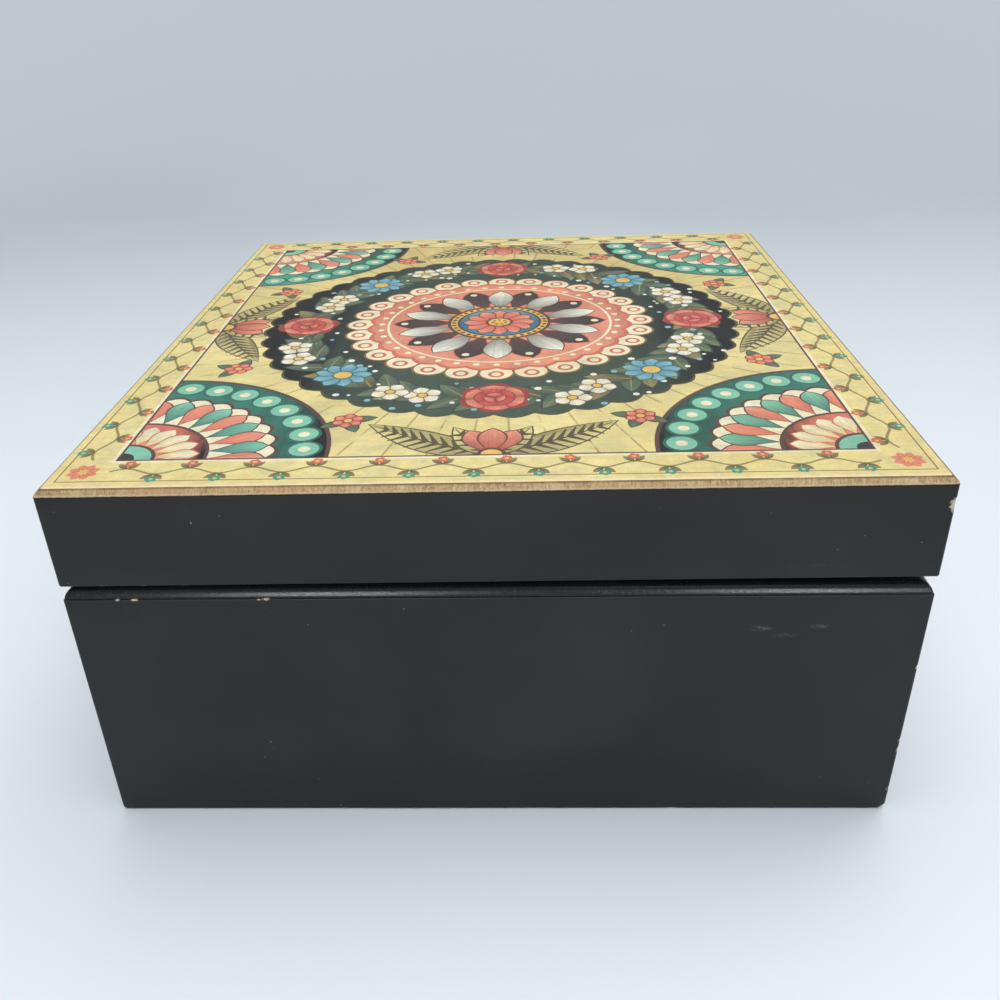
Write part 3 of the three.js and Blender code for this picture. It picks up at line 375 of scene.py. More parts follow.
def dent(point, chips):
    inward = Vector((0, 0, 0))
    for middle, sizes, depth in chips:
        offset = [(p - m) / s for p, m, s in zip(point, middle, sizes)]
        near = max(0.0, 1 - sum(o * o for o in offset) / caseShape["chipReach"])
        if near > 0:
            onFoot, onRim = middle[2] < caseShape["footChip"], middle[2] > caseShape["rimChip"]
            lift = 1.0 if onFoot else (-0.6 if onRim else 0.0)
            away = Vector((-middle[0] if abs(middle[0]) == halfX else 0,
                           -middle[1] if abs(middle[1]) == halfY else 0, 0)).normalized()
            inward += (away + Vector((0, 0, lift))).normalized() * depth * near
    return inward


def wander(x, y, z):
    size = caseShape["waveSize"]
    return caseShape["wave"] * (noise.noise(Vector((x, y, z)) / size) - 0.5)


# carries a closed profile of (inset, height) points along one side, mitred at both ends
def board(side, profile, chips):
    halves = (halfX, halfY)
    outX, outY = sides[side]
    extras = []
    for middle, sizes, depth in chips:
        if (outX and middle[0] == outX * halfX) or (outY and middle[1] == outY * halfY):
            at, size = (middle[1] * outX, sizes[1]) if outX else (-middle[0] * outY, sizes[0])
            extras += [at + size * s for s in caseShape["chipAlong"]]
    stations = sideStations(side, halves, caseShape["step"], extras)
    points = []
    for share, turn in stations:
        ends = min(1.0, (1 - abs(share)) * caseShape["waveFade"])
        for inset, height in profile:
            x, y = planPoint(side, halves, caseShape["cornerRound"], inset, share, turn)
            if inset < boardThickness / 2:
                shift = ends * wander(x, y, height)
                x, y = x + outX * shift, y + outY * shift
            points.append(Vector((x, y, height)) + dent((x, y, height), chips))
    ring = len(profile)
    faces = []
    for row in range(len(stations) - 1):
        for i in range(ring):
            a, b = row * ring + i, row * ring + (i + 1) % ring
            faces.append((a, b, b + ring, a + ring))
    faces.append(tuple(range(ring)))
    faces.append(tuple(range(len(points) - ring, len(points))))
    return points, faces


def faceLevels(low, high, spacing, chips):
    count = max(1, round((high - low) / spacing))
    levels = {round(low + (high - low) * i / count, 3) for i in range(count + 1)}
    for middle, sizes, depth in chips:
        levels |= {round(middle[2] + sizes[2] * s, 3) for s in caseShape["chipUp"]}
    return [level for level in sorted(levels) if low <= level <= high]


def baseProfile():
    edge, inner, curve = caseShape["edgeRound"], caseShape["innerRound"], caseShape["rimCurve"]
    thick, groove, gap = boardThickness, caseShape["grooveDepth"], caseShape["grooveGap"]
    foot, clear = rimHeight - curve[0][1], caseShape["faceClear"]
    return (
        arc(edge, edge, edge, 270, 180, 4)
        + [(0, level) for level in faceLevels(edge + clear, foot - clear, caseShape["baseRings"], baseChips)]
        + [(inset, foot - drop) for inset, drop in caseShape["quirkLip"]]
        + [(inset, rimHeight - drop) for inset, drop in curve]
        + arc(thick - inner, rimHeight - inner, inner, 90, 0, 3)
        + [(thick, rimHeight / 2), (thick, floorHigh.z + gap), (thick - groove, floorHigh.z + gap)]
        + [(thick - groove, floorLow.z - gap), (thick, floorLow.z - gap)]
        + arc(thick - edge, edge, edge, 0, -90, 3)
        + [(thick / 2, 0)]
    )


def lidProfile():
    edge, thick, top = caseShape["edgeRound"], boardThickness, lidShape["wallHeight"]
    faceLow = edge + caseShape["faceClear"]
    return (
        arc(edge, edge, edge, 270, 180, 4)
        + [(0, level) for level in faceLevels(faceLow, top, caseShape["lidRings"], lidChips)]
        + [(thick / 2, top), (thick, top), (thick, top / 2)]
        + arc(thick - edge, edge, edge, 0, -90, 3)
        + [(thick / 2, 0)]
    )


# colours of the looks are linear; sizes in them are millimetres
paintLook = {
    "black": (0.0086, 0.0093, 0.0098),
    "faded": (0.0150, 0.0156, 0.0160),
    "wood": (0.66, 0.60, 0.47),
    "woodDark": (0.34, 0.28, 0.20),
    "dust": (0.16, 0.16, 0.155),
    "scuff": (0.20, 0.20, 0.195),
    "roughness": 0.40,
    "gloss": 0.29,
    "cloud": 38.0,  # broad fading
    "peelSize": 0.85,
    "peelDepth": 0.004,
    "rimGrain": 0.026,  # open grain showing through on the handled rim
    "chipDepth": 0.05,
}


def satinBlack(look):
    faded = look.rise(look.noise(paintLook["cloud"], 3), 0.42, 0.72)
    return look.mix(paintLook["black"], paintLook["faded"], faded)


# satin black over wood, with worn edges; the wood's grain shows above one height
def blackPaint(name, chips, scuffs, grainAbove):
    look = Finish(name)
    x, y, z = look.parts(look.place)
    fromSide, fromEnd = halfX - abs(x), halfY - abs(y)
    fromFace = least(fromSide, fromEnd)
    edge = least((fromSide * fromSide + fromEnd * fromEnd) ** 0.5, (fromFace * fromFace + z * z) ** 0.5)
    fine = look.noise(0.55, 2)
    grit = look.noise(0.22, 2)
    black = satinBlack(look)
    # long faint handling marks
    marks = look.noise(1, 4, 0.65, look.stretched((0.5, 9.0, 1.6)))
    marks = look.rise(marks, 0.66, 0.80) * look.rise(look.noise(17, 1), 0.52, 0.66)
    black = look.mix(black, paintLook["dust"], marks * 0.07)
    # dust sits in one cell in a few
    motes = look.cells(4.5)
    mote = look.fall(motes, 0.02, 0.045) * (look.parts(motes[1])[0] > 0.82)
    black = look.mix(black, paintLook["dust"], mote * 0.6)
    streaks = look.rise(look.noise(1, 3, 0.6, look.stretched((1.1, 1.1, 0.32))), 0.36, 0.64)
    for middle, sizes, strength in scuffs:
        mark = look.fall(look.away(middle, sizes) + 0.8 * (fine - 0.5), 0.1, 1.0) * strength
        black = look.mix(black, paintLook["scuff"], mark * streaks if max(sizes) > 1.5 else mark)
    worn = look.fall(edge + 1.5 * (look.noise(2.6, 3) - 0.30), 0.10, 0.20)
    bare = worn * look.rise(look.noise(9, 1), 0.50, 0.60)
    for middle, sizes, depth in chips:
        away = look.away(middle, sizes) + 1.0 * (fine - 0.5) + 1.5 * (grit - 0.5)
        bare = most(bare, look.fall(away, 0.80, 0.98))
    wood = look.mix(paintLook["woodDark"], paintLook["wood"], look.rise(grit, 0.38, 0.6))
    peel = look.noise(paintLook["peelSize"], 2, 0.55)
    rough = paintLook["roughness"] + 0.10 * (look.noise(7, 3) - 0.5) + 0.12 * (fine - 0.5)
    rubbed = look.rise(z, grainAbove, grainAbove + 0.3)  # handled round-over: glossier, with open grain
    pores = look.noise(0.42, 2, 0.7)
    rough = rough - rubbed * (0.20 + 0.55 * (pores - 0.5))
    grain = rubbed * (0.3 * grit + pores)
    height = peel * paintLook["peelDepth"] + grain * paintLook["rimGrain"] - bare * paintLook["chipDepth"]
    sockets = {
        "Base Color": look.mix(black, wood, bare),
        "Roughness": rough + bare * 0.4,
        "Specular IOR Level": paintLook["gloss"],
    }
    return look.done(sockets, height, 1.0)


def addCase():
    rimFoot = rimHeight - caseShape["rimCurve"][0][1]
    basePaint = blackPaint("black_paint_base", baseChips, baseScuffs, rimFoot - 0.1)
    lidPaint = blackPaint("black_paint_lid", lidChips, lidScuffs, 2 * rimHeight)  # no rim on the lid
    for side in sides:
        makePiece(f"base_{side}_board", *board(side, baseProfile(), baseChips), basePaint,
                  [f"base_{side}_wall"], "black_paint", basePlace)
        makePiece(f"lid_{side}_board", *board(side, lidProfile(), lidChips), lidPaint,
                  [f"lid_{side}_wall"], "black_paint", lidPlace)


addCase()
print("case boards made")

# sanded lid panel
panelLook = {
    "waver": 0.14,  # unevenness of the sanded bevel
    "waverRate": 5,
    "sidesApart": 7.3,  # each side wavers in its own way
    "pale": (0.545, 0.41, 0.225),
    "middle": (0.40, 0.275, 0.132),
    "dark": (0.175, 0.098, 0.044),
    "ruddy": (0.46, 0.245, 0.13),
    # how the bevel rounds over, as shares of its width and height
    "bevel": [(0.24, 0.42), (0.52, 0.74), (0.80, 0.93), (1.0, 1.0)],
    # dark brown of the stripe just under the paper's edge
    "sanded": (0.60, 0.50, 0.34),  # pale edge of the sanded wood
    "burnt": (0.105, 0.068, 0.032),
    "charred": (0.0050, 0.0036, 0.0024),
    "stripe": 0.33,  # sanding stripes along the edge
    "fibre": 0.46,
    "edgeRings": (0, 0.8, 1.6),  # rings on the painted edge, above its lower side
    "step": 2.0,
}


def closedStations(halves, step):
    found = []
    for side in sides:
        found += [(side, share, turn) for share, turn in sideStations(side, halves, step)[:-1]]
    return found


# levels of (inset, height) carried round the whole rectangle; solid levels are capped
def ringLoft(halves, cornerRound, levels, step, capped=True):
    stations = closedStations(halves, step)
    count = len(stations)
    points = []
    for inset, height in levels:
        for side, share, turn in stations:
            drop = height(share, side) if callable(height) else height
            points.append((*planPoint(side, halves, cornerRound, inset, share, turn), drop))
    faces = []
    last = len(levels) - 1 if capped else len(levels)
    for row in range(last):
        above = (row + 1) % len(levels)
        for i in range(count):
            j = (i + 1) % count
            faces.append((row * count + i, row * count + j, above * count + j, above * count + i))
    if capped:
        faces.append(tuple(range(count)))
        faces.append(tuple(range(len(points) - count, len(points))))
    return points, faces


def bevelFoot(share, side):
    phase = panelLook["sidesApart"] * list(sides).index(side)
    spot = Vector((share * panelLook["waverRate"] + phase, phase, 0.4))
    waver = noise.noise(spot) * (1 - abs(share) ** 8)
    return panelTop - lidShape["chamfer"] + panelLook["waver"] * waver


def panelFinish():
    look = Finish("sanded_lid_panel")
    x, y, z = look.parts(look.place)
    alongX = (halfX - abs(x)) > (halfY - abs(y))  # 1 on the two long edges
    run = alongX * x + (1 - alongX) * y
    saw = look.noise(panelLook["stripe"], 3, 0.6, look.joined(run, 0.15 * z, alongX * 40))
    broad = look.noise(6, 2, 0.5, look.joined(run, 0.0, alongX * 90))
    fibres = look.noise(panelLook["fibre"], 3, 0.75)
    stops = [(0.36, panelLook["dark"]), (0.48, panelLook["middle"]), (0.60, panelLook["pale"])]
    wood = look.ramp(0.35 * saw + 0.45 * fibres + 0.20 * broad, stops)
    wood = look.mix(wood, panelLook["ruddy"], look.rise(look.noise(14, 2), 0.46, 0.62) * 0.5)
    foot = panelTop - lidShape["chamfer"] + 0.16 * (look.noise(0.8, 3) - 0.5)
    bare = look.rise(z - foot, -0.04, 0.10)
    wood = look.mix(wood, panelLook["sanded"], look.fall(abs(z - foot - 0.20), 0.03, 0.20) * 0.45)
    # a darker brown stripe runs just under the paper's edge, patchy along its length
    underPaperStripe = look.fall(panelTop - z, 0.05, 0.26) * (0.55 + 0.45 * look.rise(look.noise(5, 2), 0.36, 0.55))
    wood = look.mix(wood, panelLook["burnt"], underPaperStripe * 0.8)
    singe = look.fall(abs(z - foot + 0.11), 0.04, 0.16)  # dark line where paint and wood meet
    black = satinBlack(look)
    peel = look.noise(paintLook["peelSize"], 2, 0.55)
    rough = paintLook["roughness"] + 0.1 * (look.noise(7, 3) - 0.5)
    sockets = {
        "Base Color": look.mix(look.mix(black, wood, bare), panelLook["charred"], singe * 0.85),
        "Roughness": rough + 0.3 * most(bare, singe),
        "Specular IOR Level": paintLook["gloss"],
    }
    return look.done(sockets, peel * paintLook["peelDepth"] + bare * (saw + fibres) * 0.03, 1.0)


def addPanel():
    low, chamfer = lidShape["wallHeight"], lidShape["chamfer"]
    levels = [(0, low + up) for up in panelLook["edgeRings"]] + [(0, bevelFoot)]
    levels += [(chamfer * across, panelTop - chamfer * (1 - up)) for across, up in panelLook["bevel"]]
    points, faces = ringLoft((halfX, halfY), caseShape["cornerRound"], levels, panelLook["step"])
    makePiece("lid_panel_sanded", points, faces, panelFinish(), ["lid_top_panel"], "bare_wood", lidPlace)


addPanel()
print("lid panel made")

# picture on the lid: a folk flower panel, drawn in millimetres as flat outlines and cut into one sheet
palette = {  # screen colours, 0 to 255
    "straw": (231, 215, 151), "strawDeep": (196, 170, 104), "line": (112, 80, 44),
    "tan": (226, 204, 148), "frame": (146, 104, 66), "cream": (241, 231, 199),
    "coral": (232, 152, 126), "coralDeep": (210, 114, 94), "rose": (210, 94, 86),
    "roseDeep": (158, 64, 62), "black": (54, 51, 52), "smoke": (104, 100, 97),
    "leaf": (66, 82, 70), "leafDeep": (54, 67, 58), "leafPale": (102, 120, 94), "white": (241, 240, 229),
    "blue": (72, 132, 160), "bluePale": (138, 184, 198), "teal": (72, 154, 134),
    "tealPale": (134, 198, 172), "tealDeep": (48, 106, 96), "plum": (94, 66, 62),
    "olive": (152, 140, 94), "oliveDeep": (88, 80, 54), "honey": (229, 188, 100),
    "paper": (234, 211, 168),
}
pictureShape = {
    "borderWidth": 9.5,
    "fanRadius": 36.0,
    "medallion": 31.0,
    "wreath": 46.0,
    "outline": 0.34,  # dark rim round a petal
    "cornerRound": 0.4,
    "step": 2.0,
    "varnish": 0.60,
    "rayCount": 60,
    "aged": [(0.3, (0.92, 0.89, 0.80)), (0.65, (1, 1, 1))],
    "patches": [(0.30, (0.84, 0.88, 0.94)), (0.50, (0.98, 0.98, 0.97)), (0.70, (1.0, 0.96, 0.86))],
}
kinds = {"plain": 0, "stroke": 1, "rays": 2}
pictureHalves = (halfX - lidShape["chamfer"] - lidShape["paper"],
                 halfY - lidShape["chamfer"] - lidShape["paper"])
fieldA = pictureHalves[1] - pictureShape["borderWidth"]  # half width of the field, left to right
fieldB = pictureHalves[0] - pictureShape["borderWidth"]  # half height of the field
shapes = []


def linear(name):
    channels = [c / 255 for c in palette[name]]
    return [c / 12.92 if c < 0.04045 else ((c + 0.055) / 1.055) ** 2.4 for c in channels]


# outlines point up from (0, 0); put turns one, moves it and lays it on what is there already
def put(outline, inks, at=(0, 0), turn=0.0, size=(1, 1), kind="plain", outside=False, border=False):
    c, s = math.cos(turn), math.sin(turn)
    points = np.array([(at[0] + c * x - s * y, at[1] + s * x + c * y) for x, y in outline])
    hidden = (np.abs(points[:, 0]) > fieldA).all() or (np.abs(points[:, 1]) > fieldB).all()
    if hidden and not (outside or border):
        return
    first, second = inks if isinstance(inks, tuple) else (inks, inks)
    shapes.append({"points": points, "inks": (linear(first), linear(second)), "at": at, "turn": turn,
                   "size": size, "kind": kinds[kind], "seed": rng.random(), "outside": outside})


def disc(radius, corners):
    return [(radius * math.cos(turn), radius * math.sin(turn)) for turn in ringAngles(corners)]


def oblong(halfA, halfB):
    return [(-halfA, -halfB), (halfA, -halfB), (halfA, halfB), (-halfA, halfB)]


def scalloped(radius, count, depth, steps=6):
    outline = []
    for i in range(count * steps):
        angle = 2 * math.pi * i / (count * steps)
        reach = radius + depth * math.sin(math.pi * (i % steps) / steps)
        outline.append((reach * math.cos(angle), reach * math.sin(angle)))
    return outline


def bladeHalf(width, share, fullness):
    return width / 2 * math.sin(math.pi * share ** fullness) ** 0.85


# a leaf or petal; fullness above 1 is broadest near the tip, bend curves it sideways
def blade(length, width, fullness=1.0, bend=0.0):
    steps = 9
    shares = [i / steps for i in range(steps + 1)]
    left = [(bend * t * t - bladeHalf(width, t, fullness), length * t) for t in shares]
    right = [(bend * t * t + bladeHalf(width, t, fullness), length * t) for t in reversed(shares)]
    return [p for p, q in zip(left + right, [None] + left + right) if p != q]


def petal(inks, length, width, at, turn, fullness=1.3, bend=0.0, rim=None, border=False):
    if rim:
        grow, c, s = pictureShape["outline"], math.cos(turn), math.sin(turn)
        foot = (at[0] + s * grow, at[1] - c * grow)
        put(blade(length + 2 * grow, width + 2 * grow, fullness, bend), rim, foot, turn)
    put(blade(length, width, fullness, bend), inks, at, turn, (length, width), "stroke", border=border)


def strip(line, width, taper=0.75):  # a brush line that thins towards its end
    left, right = [], []
    for i, (x, y) in enumerate(line):
        ahead, behind = line[min(i + 1, len(line) - 1)], line[max(i - 1, 0)]
        dx, dy = ahead[0] - behind[0], ahead[1] - behind[1]
        reach = math.hypot(dx, dy)
        half = width / 2 * (1 - taper * i / (len(line) - 1))
        left.append((x - dy / reach * half, y + dx / reach * half))
        right.append((x + dy / reach * half, y - dx / reach * half))
    return left + right[::-1]


def around(middle, radius, angle):  # angle clockwise from straight up
    return middle[0] + radius * math.sin(angle), middle[1] + radius * math.cos(angle)


def ringAngles(count, start=0.0):
    return [start + 2 * math.pi * i / count for i in range(count)]


def flower(middle, petals, reach, width, inks, rim, heart, heartInk):
    start = rng.uniform(0, math.pi)
    for angle in ringAngles(petals, start):
        petal(inks, reach, width, around(middle, 0.3, angle), -angle, 1.5, rim=rim)
    put(disc(heart + 0.35, 14), rim, middle)
    put(disc(heart, 14), heartInk, middle)


def rose(middle, radius):
    start = rng.uniform(0, math.pi)
    put(scalloped(radius * 0.94, 6, radius * 0.16, 5), "roseDeep", middle, start)
    for ring, (count, inner, reach, inks) in enumerate([
        (6, 0.30, 0.62, ("roseDeep", "coral")), (5, 0.12, 0.48, ("roseDeep", "rose")),
        (3, 0.02, 0.30, ("roseDeep", "coral")),
    ]):
        for angle in ringAngles(count, start + ring * 0.5):
            foot = around(middle, radius * inner, angle)
            petal(inks, radius * reach, radius * (0.86 - 0.2 * ring), foot, -angle, 1.6, rim="roseDeep")


def featherLeaf(at, turn, length, width, bend):
    c, s = math.cos(turn), math.sin(turn)
    foot = (at[0] + s * 0.4, at[1] - c * 0.4)
    put(blade(length + 0.8, width + 0.8, 0.9, bend), "oliveDeep", foot, turn)
    put(blade(length, width, 0.9, bend), ("olive", "straw"), at, turn, (length, width), "stroke")
    ribs = int(length / 2.3)
    for i in range(1, ribs):
        share = 0.92 * i / ribs
        half = bladeHalf(width, share, 0.9)
        for side in (1, -1):
            rib = [(bend * share ** 2 + side * half * u * 0.93, length * share + half * u * 0.75)
                   for u in (0.0, 0.35, 0.7, 1.0)]
            put(strip(rib, 1.15), "oliveDeep", at, turn)
    put(strip([(bend * t * t, length * t) for t in (0.02, 0.3, 0.6, 0.95)], 0.8), "oliveDeep", at, turn)


def drawFan(signA, signB):
    corner = (signA * fieldA, signB * fieldB)
    radius = pictureShape["fanRadius"]
    put(disc(radius + 0.8, 96), "plum", corner)
    put(disc(radius, 96), ("teal", "tealDeep"), corner, 0, (radius, radius), "stroke")
    for angle in ringAngles(32, math.pi / 32):
        put(disc(3.3, 18), "tealDeep", around(corner, radius - 3.9, angle))
        put(disc(2.7, 18), "tealPale", around(corner, radius - 3.9, angle))
        put(disc(1.1, 12), "cream", around(corner, radius - 3.9, angle))
    put(scalloped(radius - 9.6, 32, 1.3), "plum", corner)
    put(scalloped(radius - 10.4, 32, 1.3), "cream", corner)
    for i, angle in enumerate(ringAngles(32)):
        inks = ("tealDeep", "tealPale") if i % 2 else ("coralDeep", "coral")
        petal(inks, 10.5, 4.6, around(corner, radius - 21, angle), -angle, 1.7, rim="plum")
    put(disc(15.4, 48), "plum", corner)
    put(disc(14.7, 48), ("coral", "coralDeep"), corner, 0, (15, 15), "stroke")
    for angle in ringAngles(20, math.pi / 20):
        petal(("tan", "cream"), 8.0, 3.9, around(corner, 5.6, angle), -angle, 1.6, rim="coralDeep")
    put(disc(6.2, 30), "plum", corner)
    put(disc(5.5, 30), "tealPale", corner)
    put(disc(2.6, 20), "black", corner)


def drawMedallion():
    radius = pictureShape["medallion"]
    for angle in ringAngles(28):
        put(disc(3.9, 20), "frame", around((0, 0), radius + 1.4, angle))
    for angle in ringAngles(28):
        put(disc(3.4, 20), "cream", around((0, 0), radius + 1.4, angle))
        put(disc(1.7, 14), "coralDeep", around((0, 0), radius + 2.1, angle))
        put(disc(1.0, 12), "cream", around((0, 0), radius + 2.1, angle))
    put(scalloped(radius - 1.2, 28, 1.3), "coralDeep")
    put(scalloped(radius - 2.2, 28, 1.2), ("coral", "coral"), size=(60, 60), kind="stroke")
    put(disc(radius - 4.6, 80), "cream")
    put(disc(radius - 5.2, 80), ("coral", "coralDeep"), size=(60, 60), kind="stroke")
    for angle in ringAngles(40):
        put(disc(0.75, 10), "cream", around((0, 0), radius - 3.3, angle))
    for angle in ringAngles(10, math.pi / 10):
        petal(("plum", "black"), 15.5, 7.0, around((0, 0), 9.5, angle), -angle, 1.5, rim="coralDeep")
        put(disc(0.9, 12), "cream", around((0, 0), 22.4, angle))
    for angle in ringAngles(10):
        petal(("smoke", "white"), 14.5, 6.2, around((0, 0), 9.5, angle), -angle, 1.45, rim="plum")
    put(disc(12.2, 56), "plum")
    put(disc(11.4, 56), "honey")
    for angle in ringAngles(36):
        put(disc(0.55, 8), "plum", around((0, 0), 10.7, angle))
    put(disc(9.9, 48), "plum")
    put(disc(9.3, 48), ("blue", "bluePale"), size=(18, 18), kind="stroke")
    for angle in ringAngles(12):
        petal(("rose", "coral"), 6.4, 3.8, around((0, 0), 2.0, angle), -angle, 1.5, rim="plum")
    put(disc(3.2, 24), "plum")
    put(disc(2.6, 24), "honey")
    for angle in ringAngles(7):
        put(disc(0.4, 8), "line", around((0, 0), 1.5, angle))


def drawWreath():
    radius = pictureShape["wreath"]
    put(scalloped(radius + 7.6, 44, 1.7), "oliveDeep")
    put(scalloped(radius + 7.1, 44, 1.6), ("leaf", "leafDeep"), size=(radius, radius), kind="stroke")
    for angle in ringAngles(56):
        lean = 0.75 + rng.uniform(-0.2, 0.2)
        for side, start in ((1, radius - 2.5), (-1, radius + 0.5)):
            tones = ("leaf", "leafPale") if rng.random() < 0.6 else ("leafDeep", "olive")
            turn = -angle - math.pi / 2 + side * lean
            foot = around((0, 0), start, angle + rng.uniform(-0.02, 0.02))
            length = rng.uniform(9.0, 11.5)
            put(blade(length + 0.7, 4.7, 0.95), "leafDeep", foot, turn)
            put(blade(length, 4.1, 0.95), tones, foot, turn, (length, 4.1), "stroke")
            put(strip([(0, length * t) for t in (0.08, 0.5, 0.92)], 0.5), "olive", foot, turn)
    for angle in ringAngles(130, 0.02):
        reach = radius + rng.uniform(-8.6, 7.4)
        put(disc(rng.uniform(0.4, 0.85), 8), rng.choice(("white", "white", "bluePale")),
            around((0, 0), reach, angle + rng.uniform(-0.02, 0.02)))
    for i, angle in enumerate(ringAngles(16)):
        middle = around((0, 0), radius + (0.8 if i % 2 else -0.8), angle)
        if i % 4 == 0:
            rose(middle, 6.6)
        elif i % 4 == 2:
            flower(middle, 9, 5.8, 3.2, ("blue", "bluePale"), "tealDeep", 1.9, "honey")
        else:
            for spread in (-0.075, 0.075):
                bud = around((0, 0), radius + rng.uniform(-2.8, 2.8), angle + spread)
                flower(bud, 5, 3.6, 3.2, ("tan", "white"), "smoke", 0.9, "honey")


def drawSides():
    for turns, reach in ((0, fieldB), (1, fieldA), (2, fieldB), (3, fieldA)):
        angle = turns * math.pi / 2
        middle = around((0, 0), reach, angle)
        inward = math.pi - angle
        for side in (1, -1):
            featherLeaf(middle, inward + side * 1.22, 26, 7.4, side * 4.5)
            featherLeaf(middle, inward + side * 0.72, 13, 5.2, side * 2.0)
        for lean in (-0.42, 0.42, 0.0):
            petal(("roseDeep", "coral"), 10.5, 5.0, middle, inward + lean, 1.5, rim="plum")
        put(disc(2.6, 20), "plum", middle)
        put(disc(1.9, 20), "honey", middle)


def drawSprigs():
    for quarter in ringAngles(4):
        for side in (1, -1):
            middle = around((0, 0), 61.4, quarter + side * 0.46)
            for lean in (-1.0, 0.4, 1.8):
                petal(("leaf", "leafPale"), 5.4, 2.3, middle, -quarter + side * lean, 1.0, rim="leaf")
            flower(middle, 6, 2.6, 1.9, ("coralDeep", "coral"), "roseDeep", 0.8, "honey")


# a running stem with leaves and blossoms along all four edges
def drawBorder():
    for inset, ink in ((0.0, "plum"), (0.45, "cream"), (1.1, "straw"), (7.9, "frame"), (8.15, "straw")):
        put(oblong(fieldA + inset, fieldB + inset), ink, outside=True)
    out = 4.5  # middle of the border beyond the field
    for turns in range(4):
        turn = turns * math.pi / 2
        c, s = math.cos(turn), math.sin(turn)
        reach, run = (fieldA, fieldB) if turns % 2 else (fieldB, fieldA)
        waves = 2 * round(run / 11)
        stem = []
        for i in range(waves * 12 + 1):
            along = run * (2 * i / (waves * 12) - 1)
            up = reach + out + 1.0 * math.sin(math.pi * i / 6)
            stem.append((c * along - s * up, s * along + c * up))
        put(strip(stem, 0.5, 0.0), "olive", border=True)
        for i in range(waves * 2):
            foot, ahead = stem[i * 6 + 3], turn - math.pi / 2
            bow = 1 if i % 2 else -1
            for lean in (0.75, 2.3):
                petal(("oliveDeep", "olive"), 2.7, 1.25, foot, ahead - bow * lean, 1.0, border=True)
            bloom = (foot[0] + s * bow * 1.9, foot[1] - c * bow * 1.9)
            for angle in ringAngles(5, rng.random()):
                put(disc(0.5, 8), "coralDeep" if i % 2 else "teal", around(bloom, 0.62, angle), border=True)
            put(disc(0.38, 8), "honey", bloom, border=True)
        corner = (c * (run + out) - s * (reach + out), s * (run + out) + c * (reach + out))
        for angle in ringAngles(8, math.pi / 8):
            put(blade(2.5, 1.5, 1.4), ("coralDeep", "coral"), around(corner, 0.4, angle), -angle, (2.5, 1.5),
                "stroke", border=True)
        put(disc(0.8, 12), "honey", corner, border=True)


def drawPicture():
    put(oblong(fieldA, fieldB), ("straw", "strawDeep"), size=(150, 150), kind="rays")
    for signA in (1, -1):
        for signB in (1, -1):
            drawFan(signA, signB)
    drawSides()
    drawSprigs()
    drawWreath()
    drawMedallion()
    drawBorder()  # covers whatever runs over the field's edge


# cuts the sheet along every outline and finds the topmost shape over each triangle
def cutSheet():
    edge = ringLoft(pictureHalves, pictureShape["cornerRound"], [(0, 0.0)], pictureShape["step"], False)[0]
    rim = [(y, -x) for x, y, z in edge]
    points, edges = [], []
    for outline in [rim] + [shape["points"] for shape in shapes]:
        start, count = len(points), len(outline)
        points += [Vector(p) for p in outline]
        edges += [(start + i, start + (i + 1) % count) for i in range(count)]
    found = delaunay_2d_cdt(points, edges, [], 0, 1e-4, False)
    corners = np.array([tuple(p) for p in found[0]])
    triangles = np.array(found[2])
    middles = corners[triangles].mean(axis=1)
    triangles = triangles[inOutline(middles, np.array(rim))]
    middles = corners[triangles].mean(axis=1)
    top = np.zeros(len(triangles), int)
    for index, shape in enumerate(shapes):
        inside = inOutline(middles, shape["points"])
        top[~inside if shape["outside"] else inside] = index
    return corners, triangles, top


def inOutline(places, outline):
    near = ((places >= outline.min(axis=0)) & (places <= outline.max(axis=0))).all(axis=1)
    inside = np.zeros(len(places), bool)
    x, y = places[near, 0], places[near, 1]
    odd = np.zeros(len(x), bool)
    for (x0, y0), (x1, y1) in zip(outline, np.roll(outline, -1, axis=0)):
        if y0 == y1:
            continue
        odd ^= ((y0 > y) != (y1 > y)) & (x < (x1 - x0) * (y - y0) / (y1 - y0) + x0)
    inside[near] = odd
    return inside


